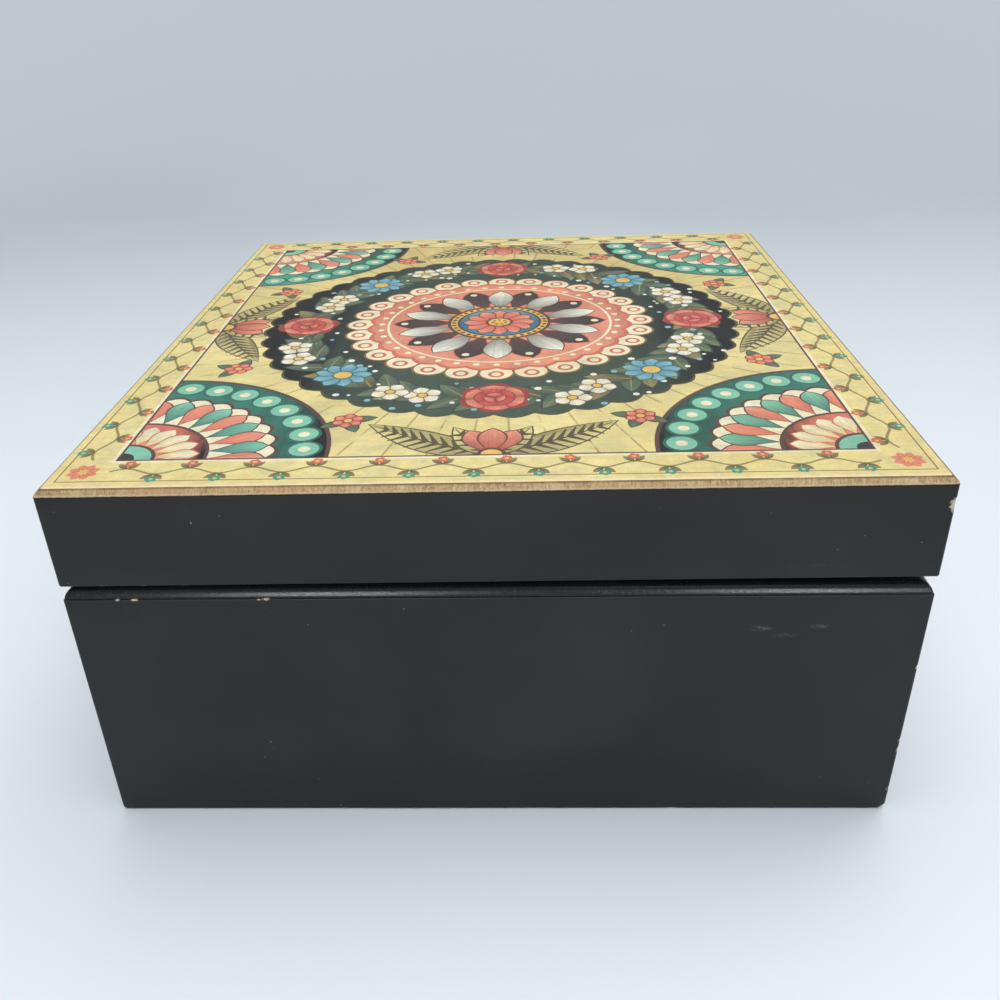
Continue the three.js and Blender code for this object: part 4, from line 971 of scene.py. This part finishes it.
def pictureFinish():
    look = Finish("varnished_picture")
    ink = look.node("Attribute", {"attribute_name": "ink"})
    brush = look.node("Attribute", {"attribute_name": "brush"})["Vector"]
    kind = look.node("Attribute", {"attribute_name": "kind"})["Fac"]
    x, y, z = look.parts(look.place)
    along, across, seed = look.parts(brush)
    isStroke = abs(kind - kinds["stroke"]) < 0.5
    isRays = abs(kind - kinds["rays"]) < 0.5
    # brush strokes run the length of each petal and darken to its edges
    hairs = look.noise(1, 2, 0.6, look.joined(along * 1.6, across * 4.5, seed * 57))
    petalTone = 1.05 - 0.26 * abs(across) ** 2.2 + 0.80 * (hairs - 0.5)
    # ground: rays from the middle and dry dabs of paint
    angle = x.reckon("ARCTAN2", y, x)
    reach = (x * x + y * y) ** 0.5
    perRay = 2 * math.pi / pictureShape["rayCount"]
    turn = angle * (1 / perRay) + 0.05 * look.noise(14, 2)
    offLine = abs(turn - turn.reckon("FLOOR", turn) - 0.5) * reach * perRay
    rays = look.fall(offLine, 0.10, 0.32) * look.rise(look.noise(7, 2), 0.36, 0.5)
    dabs = look.noise(1, 4, 0.6, look.joined(angle * 9, reach * 0.07, 3.0))
    groundTone = 0.98 + 0.60 * (dabs - 0.5) + 0.45 * (look.noise(24, 2) - 0.5)
    plainTone = 1.0 + 0.45 * (look.noise(2.6, 4, 0.62) - 0.5)
    tone = isStroke * petalTone + isRays * groundTone + (1 - most(isStroke, isRays)) * plainTone
    colour = look.shaded(ink, tone)
    colour = look.mix(colour, linear("line"), isRays * rays * 0.5)
    # hand-laid paint: warm and cool patches, dry-brush gaps and a fine grain
    patch = look.noise(5.0, 4, 0.62)
    colour = look.shaded(colour, look.ramp(patch, pictureShape["patches"]))
    dry = look.noise(1, 3, 0.65, look.stretched((1.1, 7.0, 1.0)))
    grain = look.noise(0.24, 2, 0.6)
    colour = look.shaded(colour, 0.95 + 0.30 * (dry - 0.5) + 0.34 * (grain - 0.5))
    # aged varnish, then bare paper where the edge has rubbed
    colour = look.shaded(colour, look.ramp(look.noise(45, 3), pictureShape["aged"]))
    toEdge = least(pictureHalves[0] - abs(x), pictureHalves[1] - abs(y))
    rubbed = look.fall(toEdge + 0.9 * (look.noise(1.6, 3) - 0.36), 0.02, 0.14)
    paper = look.mix(linear("paper"), linear("tan"), look.rise(look.noise(2.0, 2), 0.45, 0.7) * 0.7)
    colour = look.mix(colour, paper, rubbed)
    rough = pictureShape["varnish"] + 0.12 * (look.noise(9, 3) - 0.5) + 0.3 * rubbed
    weave = look.noise(0.35, 2) * 0.4 + look.noise(2.5, 2) * 0.6
    return look.done({"Base Color": colour, "Roughness": rough, "Specular IOR Level": 0.36}, weave, 0.012)


def addPicture():
    drawPicture()
    corners, triangles, top = cutSheet()
    sheetTop = panelTop + lidShape["paper"]
    mesh = meshOf("lid_picture_sheet", [(-b, a, sheetTop) for a, b in corners], triangles.tolist())
    mesh.polygons.foreach_set("material_index", top.astype(np.int32))  # holds the shape until it is inked
    joinShapes(mesh)
    inkSheet(mesh)
    closeSheet(mesh)
    settle("lid_picture_sheet", mesh, pictureFinish(), ["lid_picture"], lidPlace, 30)
    print("picture cut into", len(mesh.polygons), "faces from", len(shapes), "shapes")


def joinShapes(mesh):
    work = bmesh.new()
    work.from_mesh(mesh)
    bmesh.ops.delete(work, geom=[v for v in work.verts if not v.link_faces], context="VERTS")
    bmesh.ops.dissolve_limit(work, angle_limit=math.radians(1), verts=work.verts, edges=work.edges,
                             delimit={"MATERIAL"})
    bmesh.ops.triangulate(work, faces=work.faces)
    work.to_mesh(mesh)
    work.free()


# each corner carries its ink, its place within the brush mark, and the kind of mark
def inkSheet(mesh):
    faces = mesh.polygons
    top, corner = np.zeros(len(faces), np.int32), np.zeros(len(mesh.loops), np.int32)
    faces.foreach_get("material_index", top)
    mesh.loops.foreach_get("vertex_index", corner)
    places = np.zeros(len(mesh.vertices) * 3)
    mesh.vertices.foreach_get("co", places)
    places = places.reshape(-1, 3)[corner] / mm
    shape = np.repeat(top, 3)
    at, size = (np.array([s[key] for s in shapes])[shape] for key in ("at", "size"))
    turn, seed = (np.array([s[key] for s in shapes])[shape] for key in ("turn", "seed"))
    a, b = places[:, 1] - at[:, 0], -places[:, 0] - at[:, 1]
    across = (np.cos(turn) * a + np.sin(turn) * b) / size[:, 1] * 2
    along = (np.cos(turn) * b - np.sin(turn) * a) / size[:, 0]
    inks = np.array([s["inks"] for s in shapes])[shape]
    share = np.clip(along, 0, 1)[:, None]
    ink = np.ones((len(corner), 4))
    ink[:, :3] = inks[:, 0] + (inks[:, 1] - inks[:, 0]) * share
    kind = np.array([s["kind"] for s in shapes], float)[top]
    mesh.attributes.new("ink", "FLOAT_COLOR", "CORNER").data.foreach_set("color", ink.ravel())
    brush = np.stack([along, across, seed], axis=1)
    mesh.attributes.new("brush", "FLOAT_VECTOR", "CORNER").data.foreach_set("vector", brush.ravel())
    mesh.attributes.new("kind", "FLOAT", "FACE").data.foreach_set("value", kind)
    faces.foreach_set("material_index", np.zeros(len(faces), np.int32))


# gives the cut sheet its edge and its back
def closeSheet(mesh):
    work = bmesh.new()
    work.from_mesh(mesh)
    rim = [edge for edge in work.edges if len(edge.link_faces) == 1]
    ink, brush = work.loops.layers.float_color["ink"], work.loops.layers.float_vector["brush"]
    grown = bmesh.ops.extrude_edge_only(work, edges=rim)["geom"]
    wall = [g for g in grown if isinstance(g, bmesh.types.BMFace)]
    grow = [(half + lidShape["paper"]) / half for half in pictureHalves]
    for vert in (g for g in grown if isinstance(g, bmesh.types.BMVert)):
        vert.co.x *= grow[0]
        vert.co.y *= grow[1]
        vert.co.z = (panelTop + lidShape["paperGlue"]) * mm
    bottom = [edge for edge in work.edges if len(edge.link_faces) == 1]
    back = bmesh.ops.edgeloop_fill(work, edges=bottom)["faces"]
    kind = work.faces.layers.float["kind"]
    for face in wall + back:
        face[kind] = kinds["plain"]
        for loop in face.loops:
            loop[ink] = (*linear("paper"), 1.0)
            loop[brush] = (0, 0, 0)
    bmesh.ops.recalc_face_normals(work, faces=work.faces)
    work.to_mesh(mesh)
    work.free()


addPicture()

# velvet fittings
velvetLook = {
    # deep and lit are a shaded and a lit copy of the one velvet, mixed below as a painted sheen
    "deep": (0.110, 0.007, 0.017),
    "lit": (0.200, 0.016, 0.033),
    "lint": (0.45, 0.40, 0.38),
    "sheen": (0.80, 0.22, 0.28),
    "pile": 0.17,  # size of a tuft
    "stroke": 24.0,  # size of patches painted lighter, a painted sheen where the pile was brushed one way
    "boardRound": 0.62,
    "boardGrid": 4.0,
    "boardWaver": (0.05, 6.0),  # height and size
    "padHeight": 3.6,  # before it is blown up
    "padRound": 1.7,
    "padGrid": 2.6,
    "padRumple": (0.16, 14.0),
    "padPull": -0.3,  # starts bowed out, and the cloth draws its sides in between the corners
    "rollRound": 6.3,
    "rollGrid": 1.6,
    "rollSlim": 0.55,  # rolls start this much slimmer
    "rollSlack": 0.22,
    "rollFolds": (9.0, 4.0, 5.0),
    "rollGather": 0.06,  # how far the ends are gathered in
}


def velvetFinish():
    look = Finish("wine_velvet")
    pile = look.noise(velvetLook["pile"], 2, 0.6)
    brushed = look.noise(velvetLook["stroke"], 3, 0.62)
    flecks = look.noise(0.7, 2)
    # painted sheen: the velvet mixes its shaded and lit copies, lighter in brushed patches and on random tufts
    tone = 0.65 * look.rise(brushed, 0.34, 0.68) + 0.35 * look.rise(pile, 0.3, 0.7)
    colour = look.mix(velvetLook["deep"], velvetLook["lit"], tone)
    lint = look.cells(7.0)
    caught = look.fall(lint, 0.012, 0.03) * (look.parts(lint[1])[0] > 0.8)
    colour = look.mix(colour, velvetLook["lint"], caught * 0.7)
    sockets = {
        "Base Color": colour,
        "Roughness": 0.80 + 0.25 * (flecks - 0.5),
        "Specular IOR Level": 0.15,
        "Sheen Weight": 0.55,
        "Sheen Roughness": 0.38,
        "Sheen Tint": (*velvetLook["sheen"], 1.0),
    }
    return look.done(sockets, pile * 0.8 + flecks * 0.5, 0.10)


# grid lines across one direction of a soft block, close together where its edges turn
def gridLines(half, rounding, spacing):
    inner = half - rounding
    count = max(1, round(2 * inner / spacing))
    flat = [-inner + 2 * inner * i / count for i in range(count + 1)]
    turned = [inner + rounding * share for share in (0.26, 0.52, 0.77, 1.0)]
    return sorted({round(c, 5) for c in flat + turned + [-t for t in turned]})


def softBox(low, high, rounding, spacing, mould):
    middle, half = (low + high) / 2, (high - low) / 2
    turns = [min(rounding, h * 0.97) for h in half]
    lines = [gridLines(h, turn, spacing) for h, turn in zip(half, turns)]
    points, faces = [], []
    for axis in range(3):
        a, b = (axis + 1) % 3, (axis + 2) % 3
        for end in (-half[axis], half[axis]):
            start, row = len(points), len(lines[b])
            for p in lines[a]:
                for q in lines[b]:
                    place = Vector((0, 0, 0))
                    place[axis], place[a], place[b] = end, p, q
                    points.append(middle + mould(turnedEdge(place, half, turns), half))
            for i in range(len(lines[a]) - 1):
                for j in range(row - 1):
                    k = start + i * row + j
                    faces.append((k, k + row, k + row + 1, k + 1))
    return points, faces


def turnedEdge(place, half, turns):
    inner = Vector([max(t - h, min(h - t, c)) for c, h, t in zip(place, half, turns)])
    offset = Vector([(c - i) / t for c, i, t in zip(place, inner, turns)])
    unit = offset.normalized() if offset.length > 0 else offset
    return inner + Vector([u * t for u, t in zip(unit, turns)])


def boardMould(place, half):  # cloth glued over card, a little uneven
    height, size = velvetLook["boardWaver"]
    lift = height * noise.noise(place / size)
    return place + Vector((0, 0, lift if place.z > 0 else 0))


def padMould(place, half):
    u, v = place.x / half.x, place.y / half.y
    top = max(0.0, place.z / half.z)
    height, size = velvetLook["padRumple"]
    rumple = height * noise.noise(place / size) * top * (1 - u ** 6) * (1 - v ** 6)
    pull = velvetLook["padPull"]
    return place + Vector((-pull * u * (1 - v * v), -pull * v * (1 - u * u), rumple))


def rollMould(place, half):
    u, v = place.x / half.x, place.y / half.y
    folds = noise.noise(Vector([at / size for at, size in zip(place, velvetLook["rollFolds"])]))
    slack = velvetLook["rollSlack"] * folds - velvetLook["rollSlim"]
    tuck = 1 - velvetLook["rollGather"] * u ** 8
    up = max(0.0, place.z / half.z)
    return Vector((place.x + slack * u, (place.y + slack * v) * tuck, place.z + slack * up))


# padded pieces are blown up by Blender's cloth, ten times over size so that its usual settings suit them
puffSet = {
    "scale": 10.0,
    "frames": 20,
    "grow": -0.02,  # velvet cut a little larger than its filling
    "grip": 0.35,  # glued underside, as a share of a voxel
    "clear": 0.06,  # kept free inside the piece's box
    "pad": {"voxel": 2.6, "pressure": 0.5, "cap": 2.1},
    "roll": {"voxel": 1.5, "pressure": 1.5, "cap": 0.75},
}


def baked(thing):
    graph = bpy.context.evaluated_depsgraph_get()
    thing.data = bpy.data.meshes.new_from_object(thing.evaluated_get(graph))
    thing.modifiers.clear()
    return np.array([vertex.co[:] for vertex in thing.data.vertices])


def puffed(points, faces, low, high, voxel, pressure, cap):
    scene, unit = bpy.context.scene, mm * puffSet["scale"]
    mesh = bpy.data.meshes.new("filling")
    mesh.from_pydata([point * unit for point in points], [], faces)
    tidyMesh(mesh)
    filling = linked("filling", mesh)
    filling.modifiers.new("even", "REMESH").voxel_size = voxel * unit
    rest = baked(filling)
    glued = np.nonzero(rest[:, 2] < rest[:, 2].min() + puffSet["grip"] * voxel * unit)[0]
    filling.vertex_groups.new(name="glued").add(glued.tolist(), 1.0, "REPLACE")
    cloth = filling.modifiers.new("velvet", "CLOTH")
    cloth.settings.use_pressure = True
    cloth.settings.uniform_pressure_force = pressure
    cloth.settings.effector_weights.gravity = 0.0
    cloth.settings.vertex_group_mass = "glued"
    cloth.settings.shrink_min = puffSet["grow"]
    cloth.point_cache.frame_start, cloth.point_cache.frame_end = 1, puffSet["frames"]
    for number in range(1, puffSet["frames"] + 1):
        scene.frame_set(number)
    move = baked(filling) - rest
    scene.frame_set(1)
    far = np.linalg.norm(move, axis=1, keepdims=True) / (cap * unit) + 1e-9
    for vertex, spot in zip(filling.data.vertices, rest + move * np.tanh(far) / far):
        vertex.co = spot
    filling.modifiers.new("smooth", "SUBSURF").levels = 1
    spots, clear = baked(filling) / unit, puffSet["clear"]
    low, high = np.array(low) + (clear, clear, 0), np.array(high) - clear
    inner, outer = spots.min(0), spots.max(0)
    fitted = low + (spots - inner) * (high - low) / (outer - inner)  # sides reach what they lie against
    fitted[:, 2] = spots[:, 2].clip(low[2], high[2])
    skin = [face.vertices[:] for face in filling.data.polygons]
    bpy.data.objects.remove(filling)
    return fitted.tolist(), skin


def addVelvet():
    velvet = velvetFinish()
    for node in ("lining_front", "lining_back", "lining_left", "lining_right", "long_divider", "bay_divider"):
        low, high = boxOf(node)
        points, faces = softBox(low, high, velvetLook["boardRound"], velvetLook["boardGrid"], boardMould)
        makePiece(f"velvet_{node}", points, faces, velvet, [node], "velvet", smooth=60)
    low, high = boxOf("well_pad")
    start = Vector((high.x, high.y, low.z + velvetLook["padHeight"]))
    points, faces = softBox(low, start, velvetLook["padRound"], velvetLook["padGrid"], padMould)
    points, faces = puffed(points, faces, low, high, **puffSet["pad"])
    pad = makePiece("velvet_well_pad", points, faces, velvet, ["well_pad"], "velvet", smooth=180)
    for number in range(1, 5):
        low, high = boxOf(f"ring_roll_{number}")
        points, faces = softBox(low, high, velvetLook["rollRound"], velvetLook["rollGrid"], rollMould)
        points, faces = puffed(points, faces, low, high, **puffSet["roll"])
        roll = makePiece(f"velvet_ring_roll_{number}", points, faces, velvet, [f"ring_roll_{number}"],
                         "velvet", smooth=180)
    addSurround(velvet)


surroundShape = {
    "low": 11.9,  # lowest face above the lid's underside
    "pocket": 13.2,  # rebate that takes the mirror
    "pocketInset": 15.4,
    "width": 19.7,
    "edgeRound": 1.2,
    "cornerRound": 0.3,
    "step": 4.0,
}


def addSurround(velvet):
    low, high = boxOf("mirror_surround")
    halves = ((high.x - low.x) / 2, (high.y - low.y) / 2)
    s = surroundShape
    turn, top = s["edgeRound"], lidShape["wallHeight"] - lidShape["paperGlue"]
    levels = arc(turn, s["low"] + turn, turn, 180, 270, 5)
    levels += [(s["width"] * share, s["low"]) for share in (0.25, 0.5, 0.75)]
    levels += arc(s["width"] - turn, s["low"] + turn, turn, 270, 360, 5)
    levels += [(s["width"], s["pocket"]), (s["pocketInset"], s["pocket"]), (s["pocketInset"], top), (0, top)]
    points, faces = ringLoft(halves, s["cornerRound"], levels, s["step"], False)
    makePiece("velvet_mirror_surround", points, faces, velvet, ["mirror_surround"], "velvet", lidPlace, 50)


addVelvet()
print("velvet fittings made")

# metal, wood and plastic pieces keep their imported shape, with eased edges
fittingLook = {
    "brass": (0.60, 0.45, 0.21), "brassDark": (0.30, 0.19, 0.08),
    "steel": (0.55, 0.56, 0.57), "steelDark": (0.30, 0.30, 0.31),
    "zinc": (0.36, 0.36, 0.37), "zincDark": (0.20, 0.20, 0.21),
    "nylon": (0.80, 0.76, 0.65), "nylonWarm": (0.66, 0.60, 0.47),
    "plywood": [(0.28, (0.13, 0.07, 0.03)), (0.48, (0.30, 0.185, 0.095)), (0.72, (0.42, 0.28, 0.155))],
    "pore": (0.08, 0.045, 0.02),
    "dowel": [(0.3, (0.33, 0.19, 0.09)), (0.7, (0.58, 0.40, 0.22))],
    "silver": (0.86, 0.88, 0.88), "silverDull": (0.80, 0.83, 0.82),
    "cover": (0.98, 0.99, 0.99), "coverHazy": (0.94, 0.96, 0.96),
}


def brassFinish():
    look = Finish("worn_brass")
    tarnish = look.rise(look.noise(3.5, 4, 0.65), 0.50, 0.74)
    hairline = look.noise(1, 2, 0.5, look.stretched((3.0, 0.07, 0.07)))
    colour = look.mix(fittingLook["brass"], fittingLook["brassDark"], tarnish * 0.5)
    rough = 0.27 + 0.15 * tarnish + 0.12 * (hairline - 0.5)
    return look.done({"Base Color": colour, "Metallic": 1.0, "Roughness": rough}, hairline, 0.0015)


def steelFinish():
    look = Finish("brushed_steel")
    brushed = look.noise(1, 3, 0.6, look.stretched((0.06, 4.0, 0.06)))
    stain = look.rise(look.noise(4.0, 3), 0.55, 0.8)
    colour = look.mix(fittingLook["steel"], fittingLook["steelDark"], 0.5 * stain + 0.4 * (brushed - 0.3))
    rough = 0.28 + 0.24 * (brushed - 0.5) + 0.15 * stain
    return look.done({"Base Color": colour, "Metallic": 1.0, "Roughness": rough}, brushed, 0.004)


def zincFinish():
    look = Finish("cast_zinc")
    grains = look.noise(0.5, 3, 0.6)
    cloud = look.rise(look.noise(5.0, 3), 0.4, 0.7)
    colour = look.mix(fittingLook["zinc"], fittingLook["zincDark"], 0.6 * cloud + 0.3 * (grains - 0.4))
    rough = 0.50 + 0.25 * (grains - 0.5)
    return look.done({"Base Color": colour, "Metallic": 0.85, "Roughness": rough}, grains, 0.03)


def nylonFinish():
    look = Finish("moulded_nylon")
    cloud = look.noise(2.5, 3)
    colour = look.mix(fittingLook["nylon"], fittingLook["nylonWarm"], look.rise(cloud, 0.4, 0.7))
    rough = 0.42 + 0.2 * (look.noise(0.4, 2) - 0.5)
    return look.done({"Base Color": colour, "Roughness": rough, "Subsurface Weight": 0.1}, cloud, 0.01)


def plywoodFinish():
    look = Finish("raw_plywood")
    grain = look.noise(1, 4, 0.62, look.stretched((22.0, 1.1, 1.1)))
    fibre = look.noise(1, 2, 0.5, look.stretched((5.0, 0.16, 0.16)))
    colour = look.ramp(0.7 * grain + 0.3 * fibre, fittingLook["plywood"])
    colour = look.mix(colour, fittingLook["pore"], look.rise(fibre, 0.64, 0.74) * 0.5)
    return look.done({"Base Color": colour, "Roughness": 0.66 + 0.2 * (fibre - 0.5)}, grain + fibre, 0.05)


def dowelFinish():
    look = Finish("turned_dowel")
    grain = look.noise(1, 3, 0.6, look.stretched((0.25, 0.25, 6.0)))
    colour = look.ramp(grain, fittingLook["dowel"])
    return look.done({"Base Color": colour, "Roughness": 0.55 + 0.2 * (grain - 0.5)}, grain, 0.02)


def mirrorFinish():
    look = Finish("silvered_glass")
    smear = look.rise(look.noise(16, 4, 0.6), 0.55, 0.8)
    colour = look.mix(fittingLook["silver"], fittingLook["silverDull"], smear)
    return look.done({"Base Color": colour, "Metallic": 1.0, "Roughness": 0.012 + 0.05 * smear})


def clearFinish():
    look = Finish("clear_cover")
    haze = look.rise(look.noise(9, 4, 0.6), 0.5, 0.8)
    scratch = look.noise(1, 2, 0.5, look.stretched((9.0, 0.09, 1.0)))
    return look.done({
        "Base Color": look.mix(fittingLook["cover"], fittingLook["coverHazy"], haze),
        "Roughness": 0.012 + 0.02 * haze + 0.04 * look.rise(scratch, 0.64, 0.74),
        "Transmission Weight": 1.0,
        "IOR": 1.49,
    })


easeSet = {"join": 0.002, "flat": 0.7, "sharp": 38, "smooth": 34}  # millimetres, then degrees


# a node's own mesh with flat faces joined up and sharp edges eased
def easedCopy(node, ease):
    source = frame["nodes"][node].data
    mesh = bpy.data.meshes.new(f"{node}_eased")
    mesh.from_pydata([v.co[:] for v in source.vertices], [], [p.vertices[:] for p in source.polygons])
    work = bmesh.new()
    work.from_mesh(mesh)
    bmesh.ops.remove_doubles(work, verts=work.verts, dist=easeSet["join"] * mm)
    flat, turned = math.radians(easeSet["flat"]), math.radians(easeSet["sharp"])
    bmesh.ops.dissolve_limit(work, angle_limit=flat, verts=work.verts, edges=work.edges)
    sharp = [edge for edge in work.edges if len(edge.link_faces) == 2 and edge.calc_face_angle(0.0) > turned]
    bmesh.ops.bevel(work, geom=sharp, offset=ease * mm, segments=2, profile=0.5, affect="EDGES",
                    clamp_overlap=True)
    bmesh.ops.recalc_face_normals(work, faces=work.faces)
    work.to_mesh(mesh)
    work.free()
    return mesh


def addFittings():
    hinges = [n for n in frame["nodes"] if n.startswith("hinge_")]
    sets = [  # finish, slot, how far edges are eased, nodes
        (brassFinish(), "brass", 0.10, hinges + ["tune_cylinder", "spring_barrel", "winding_key"]),
        (steelFinish(), "steel", 0.06, [
            "comb", "comb_screw_1", "comb_screw_2", "cylinder_arbor", "mainspring", "winding_arbor",
            "movement_screw_1", "movement_screw_2", "movement_screw_3", "governor_worm", "stop_lever",
            "stop_spring"]),
        (zincFinish(), "cast_zinc", 0.22, ["movement_bedplate", "governor_bracket"]),
        (nylonFinish(), "nylon", 0.06, ["cylinder_pinion", "governor_drive_wheel", "governor_wheel"]),
        (plywoodFinish(), "plywood", 0.15, ["base_floor"]),
        (dowelFinish(), "bare_wood", 0.12, ["stop_rod"]),
        (mirrorFinish(), "mirror", 0.5, ["lid_mirror"]),
        (clearFinish(), "clear_plastic", 0.3, ["movement_cover"]),
    ]
    for finish, slot, ease, nodes in sets:
        for node in nodes:
            settle(f"{node}_eased", easedCopy(node, ease), finish, [node], smooth=easeSet["smooth"])


addFittings()
print("hinges and movement finished")

# stage: a pale sheet that runs up behind, soft lamps and the camera
stageLook = {
    # near and far: the sheet's colour and a copy darkened as painted shade towards the back
    "near": (0.85, 0.89, 0.94),
    "far": (0.50, 0.545, 0.58),
    "beyond": (0.53, 0.575, 0.61),  # plain tone that the sheet fades to on every side
    "cloud": (0.70, 0.75, 0.80),
    "dimming": (-80, 520),  # painted shade: the sheet darkens from near to far over this span
    "fade": (400.0, 820.0),
    "low": -0.03,  # just under the box, so that no two faces coincide
    "front": 1500.0,
    "flat": (300.0, -200.0),
    "back": -430.0,
    "sweep": 420.0,
    "wall": 1500.0,
    "half": 2200.0,
}


def floorFinish():
    look = Finish("pale_sheet")
    x, y, z = look.parts(look.place)
    # painted shade: the sheet is darker towards the back, as if less light reached it there
    colour = look.mix(stageLook["near"], stageLook["far"], look.rise(-1 * x, *stageLook["dimming"]))
    colour = look.mix(colour, stageLook["cloud"], look.rise(look.noise(160, 2), 0.35, 0.75) * 0.12)
    rough = 0.6 + 0.1 * (look.noise(60, 2) - 0.5)
    sockets = {"Base Color": colour, "Roughness": rough, "Specular IOR Level": 0.1}
    sheet = look.node("BsdfPrincipled", None, sockets)
    beyond = look.node("Emission", None, {"Color": stageLook["beyond"]})
    share = seenRay(look.node("LightPath")) * look.rise(look.away((0, 0, 0), (1, 1, 1)), *stageLook["fade"])
    return look.shown(look.node("MixShader", None, {0: share, 1: sheet, 2: beyond}))


def seenRay(path):  # what the camera, gloss and glass look at
    return most(path["Is Camera Ray"], path["Is Glossy Ray"], path["Is Transmission Ray"])


def addStage():
    low = stageLook["low"]
    profile = [(x, low) for x in (stageLook["front"], *stageLook["flat"])]
    profile += arc(stageLook["back"], stageLook["sweep"] + low, stageLook["sweep"], 270, 180, 24)
    profile.append((stageLook["back"] - stageLook["sweep"], stageLook["wall"]))
    points = [(x, side * stageLook["half"], z) for x, z in profile for side in (-1, 1)]
    faces = [(2 * i, 2 * i + 2, 2 * i + 3, 2 * i + 1) for i in range(len(profile) - 1)]
    mesh = meshOf("pale_sheet", points, faces)
    mesh.shade_smooth()
    mesh.materials.append(floorFinish())
    linked("pale_sheet", mesh)


lamps = [  # name, place, size, watts, spread in degrees, colour
    ("overhead", (-240, 130, 1250), (1500, 1900), 18.2, 180, (1.0, 0.99, 0.97)),
    ("frontLeft", (900, -212, 330), (105, 380), 0.132, 40, (0.97, 0.99, 1.0)),
    ("frontRight", (900, 300, 330), (115, 380), 0.130, 40, (0.97, 0.99, 1.0)),
]
lampAim = (0, 0, 30)
skyLook = {
    "stops": [(0.02, (0.16, 0.17, 0.18)), (0.75, (0.80, 0.87, 0.95))],  # from level to overhead
    "light": 0.42,
}


def addLamps():
    for name, place, size, watts, spread, colour in lamps:
        data = bpy.data.lights.new(name, "AREA")
        data.shape = "RECTANGLE"
        data.size, data.size_y = (s * mm for s in size)
        data.energy, data.color, data.spread = watts, colour, math.radians(spread)
        lamp = linked(name, data)
        lamp.location = Vector(place) * mm
        aim = Vector(lampAim) - Vector(place)
        lamp.rotation_euler = aim.to_track_quat("-Z", "Y").to_euler()
        lamp.visible_camera = False


def addSky():
    look = Finish("studio", bpy.data.worlds)
    height = look.parts(look.node("TexCoord")["Generated"])[2]
    dim = {"Color": look.ramp(height, skyLook["stops"]), "Strength": skyLook["light"]}
    lit = look.node("Background", None, dim)
    seen = look.node("Background", None, {"Color": stageLook["beyond"]})
    both = look.node("MixShader", None, {0: seenRay(look.node("LightPath")), 1: lit, 2: seen})
    bpy.context.scene.world = look.shown(both, "OutputWorld")


cameraSet = {  # fitted to the photographed corners
    "place": (219.56, 4.27, 147.55),
    "down": 29.055,  # degrees below level
    "aside": -1.793,
    "roll": -1.409,
    "lens": 34.786,
    "sensor": 36.0,
    "clip": (0.01, 20.0),
}


def addCamera():
    place = Matrix.Translation(Vector(cameraSet["place"]) * mm)
    turns = [("Z", 90 - cameraSet["aside"]), ("X", 90 - cameraSet["down"]), ("Z", cameraSet["roll"])]
    for axis, degrees in turns:
        place = place @ Matrix.Rotation(math.radians(degrees), 4, axis)
    data = bpy.data.cameras.new("camera")
    data.sensor_fit = "HORIZONTAL"
    data.sensor_width, data.lens = cameraSet["sensor"], cameraSet["lens"]
    data.clip_start, data.clip_end = cameraSet["clip"]
    camera = linked("camera", data)
    camera.matrix_world = place
    bpy.context.scene.camera = camera


addStage()
addLamps()
addSky()
addCamera()
bpy.context.scene.view_settings.view_transform = "Standard"
print("stage, lamps and camera made")
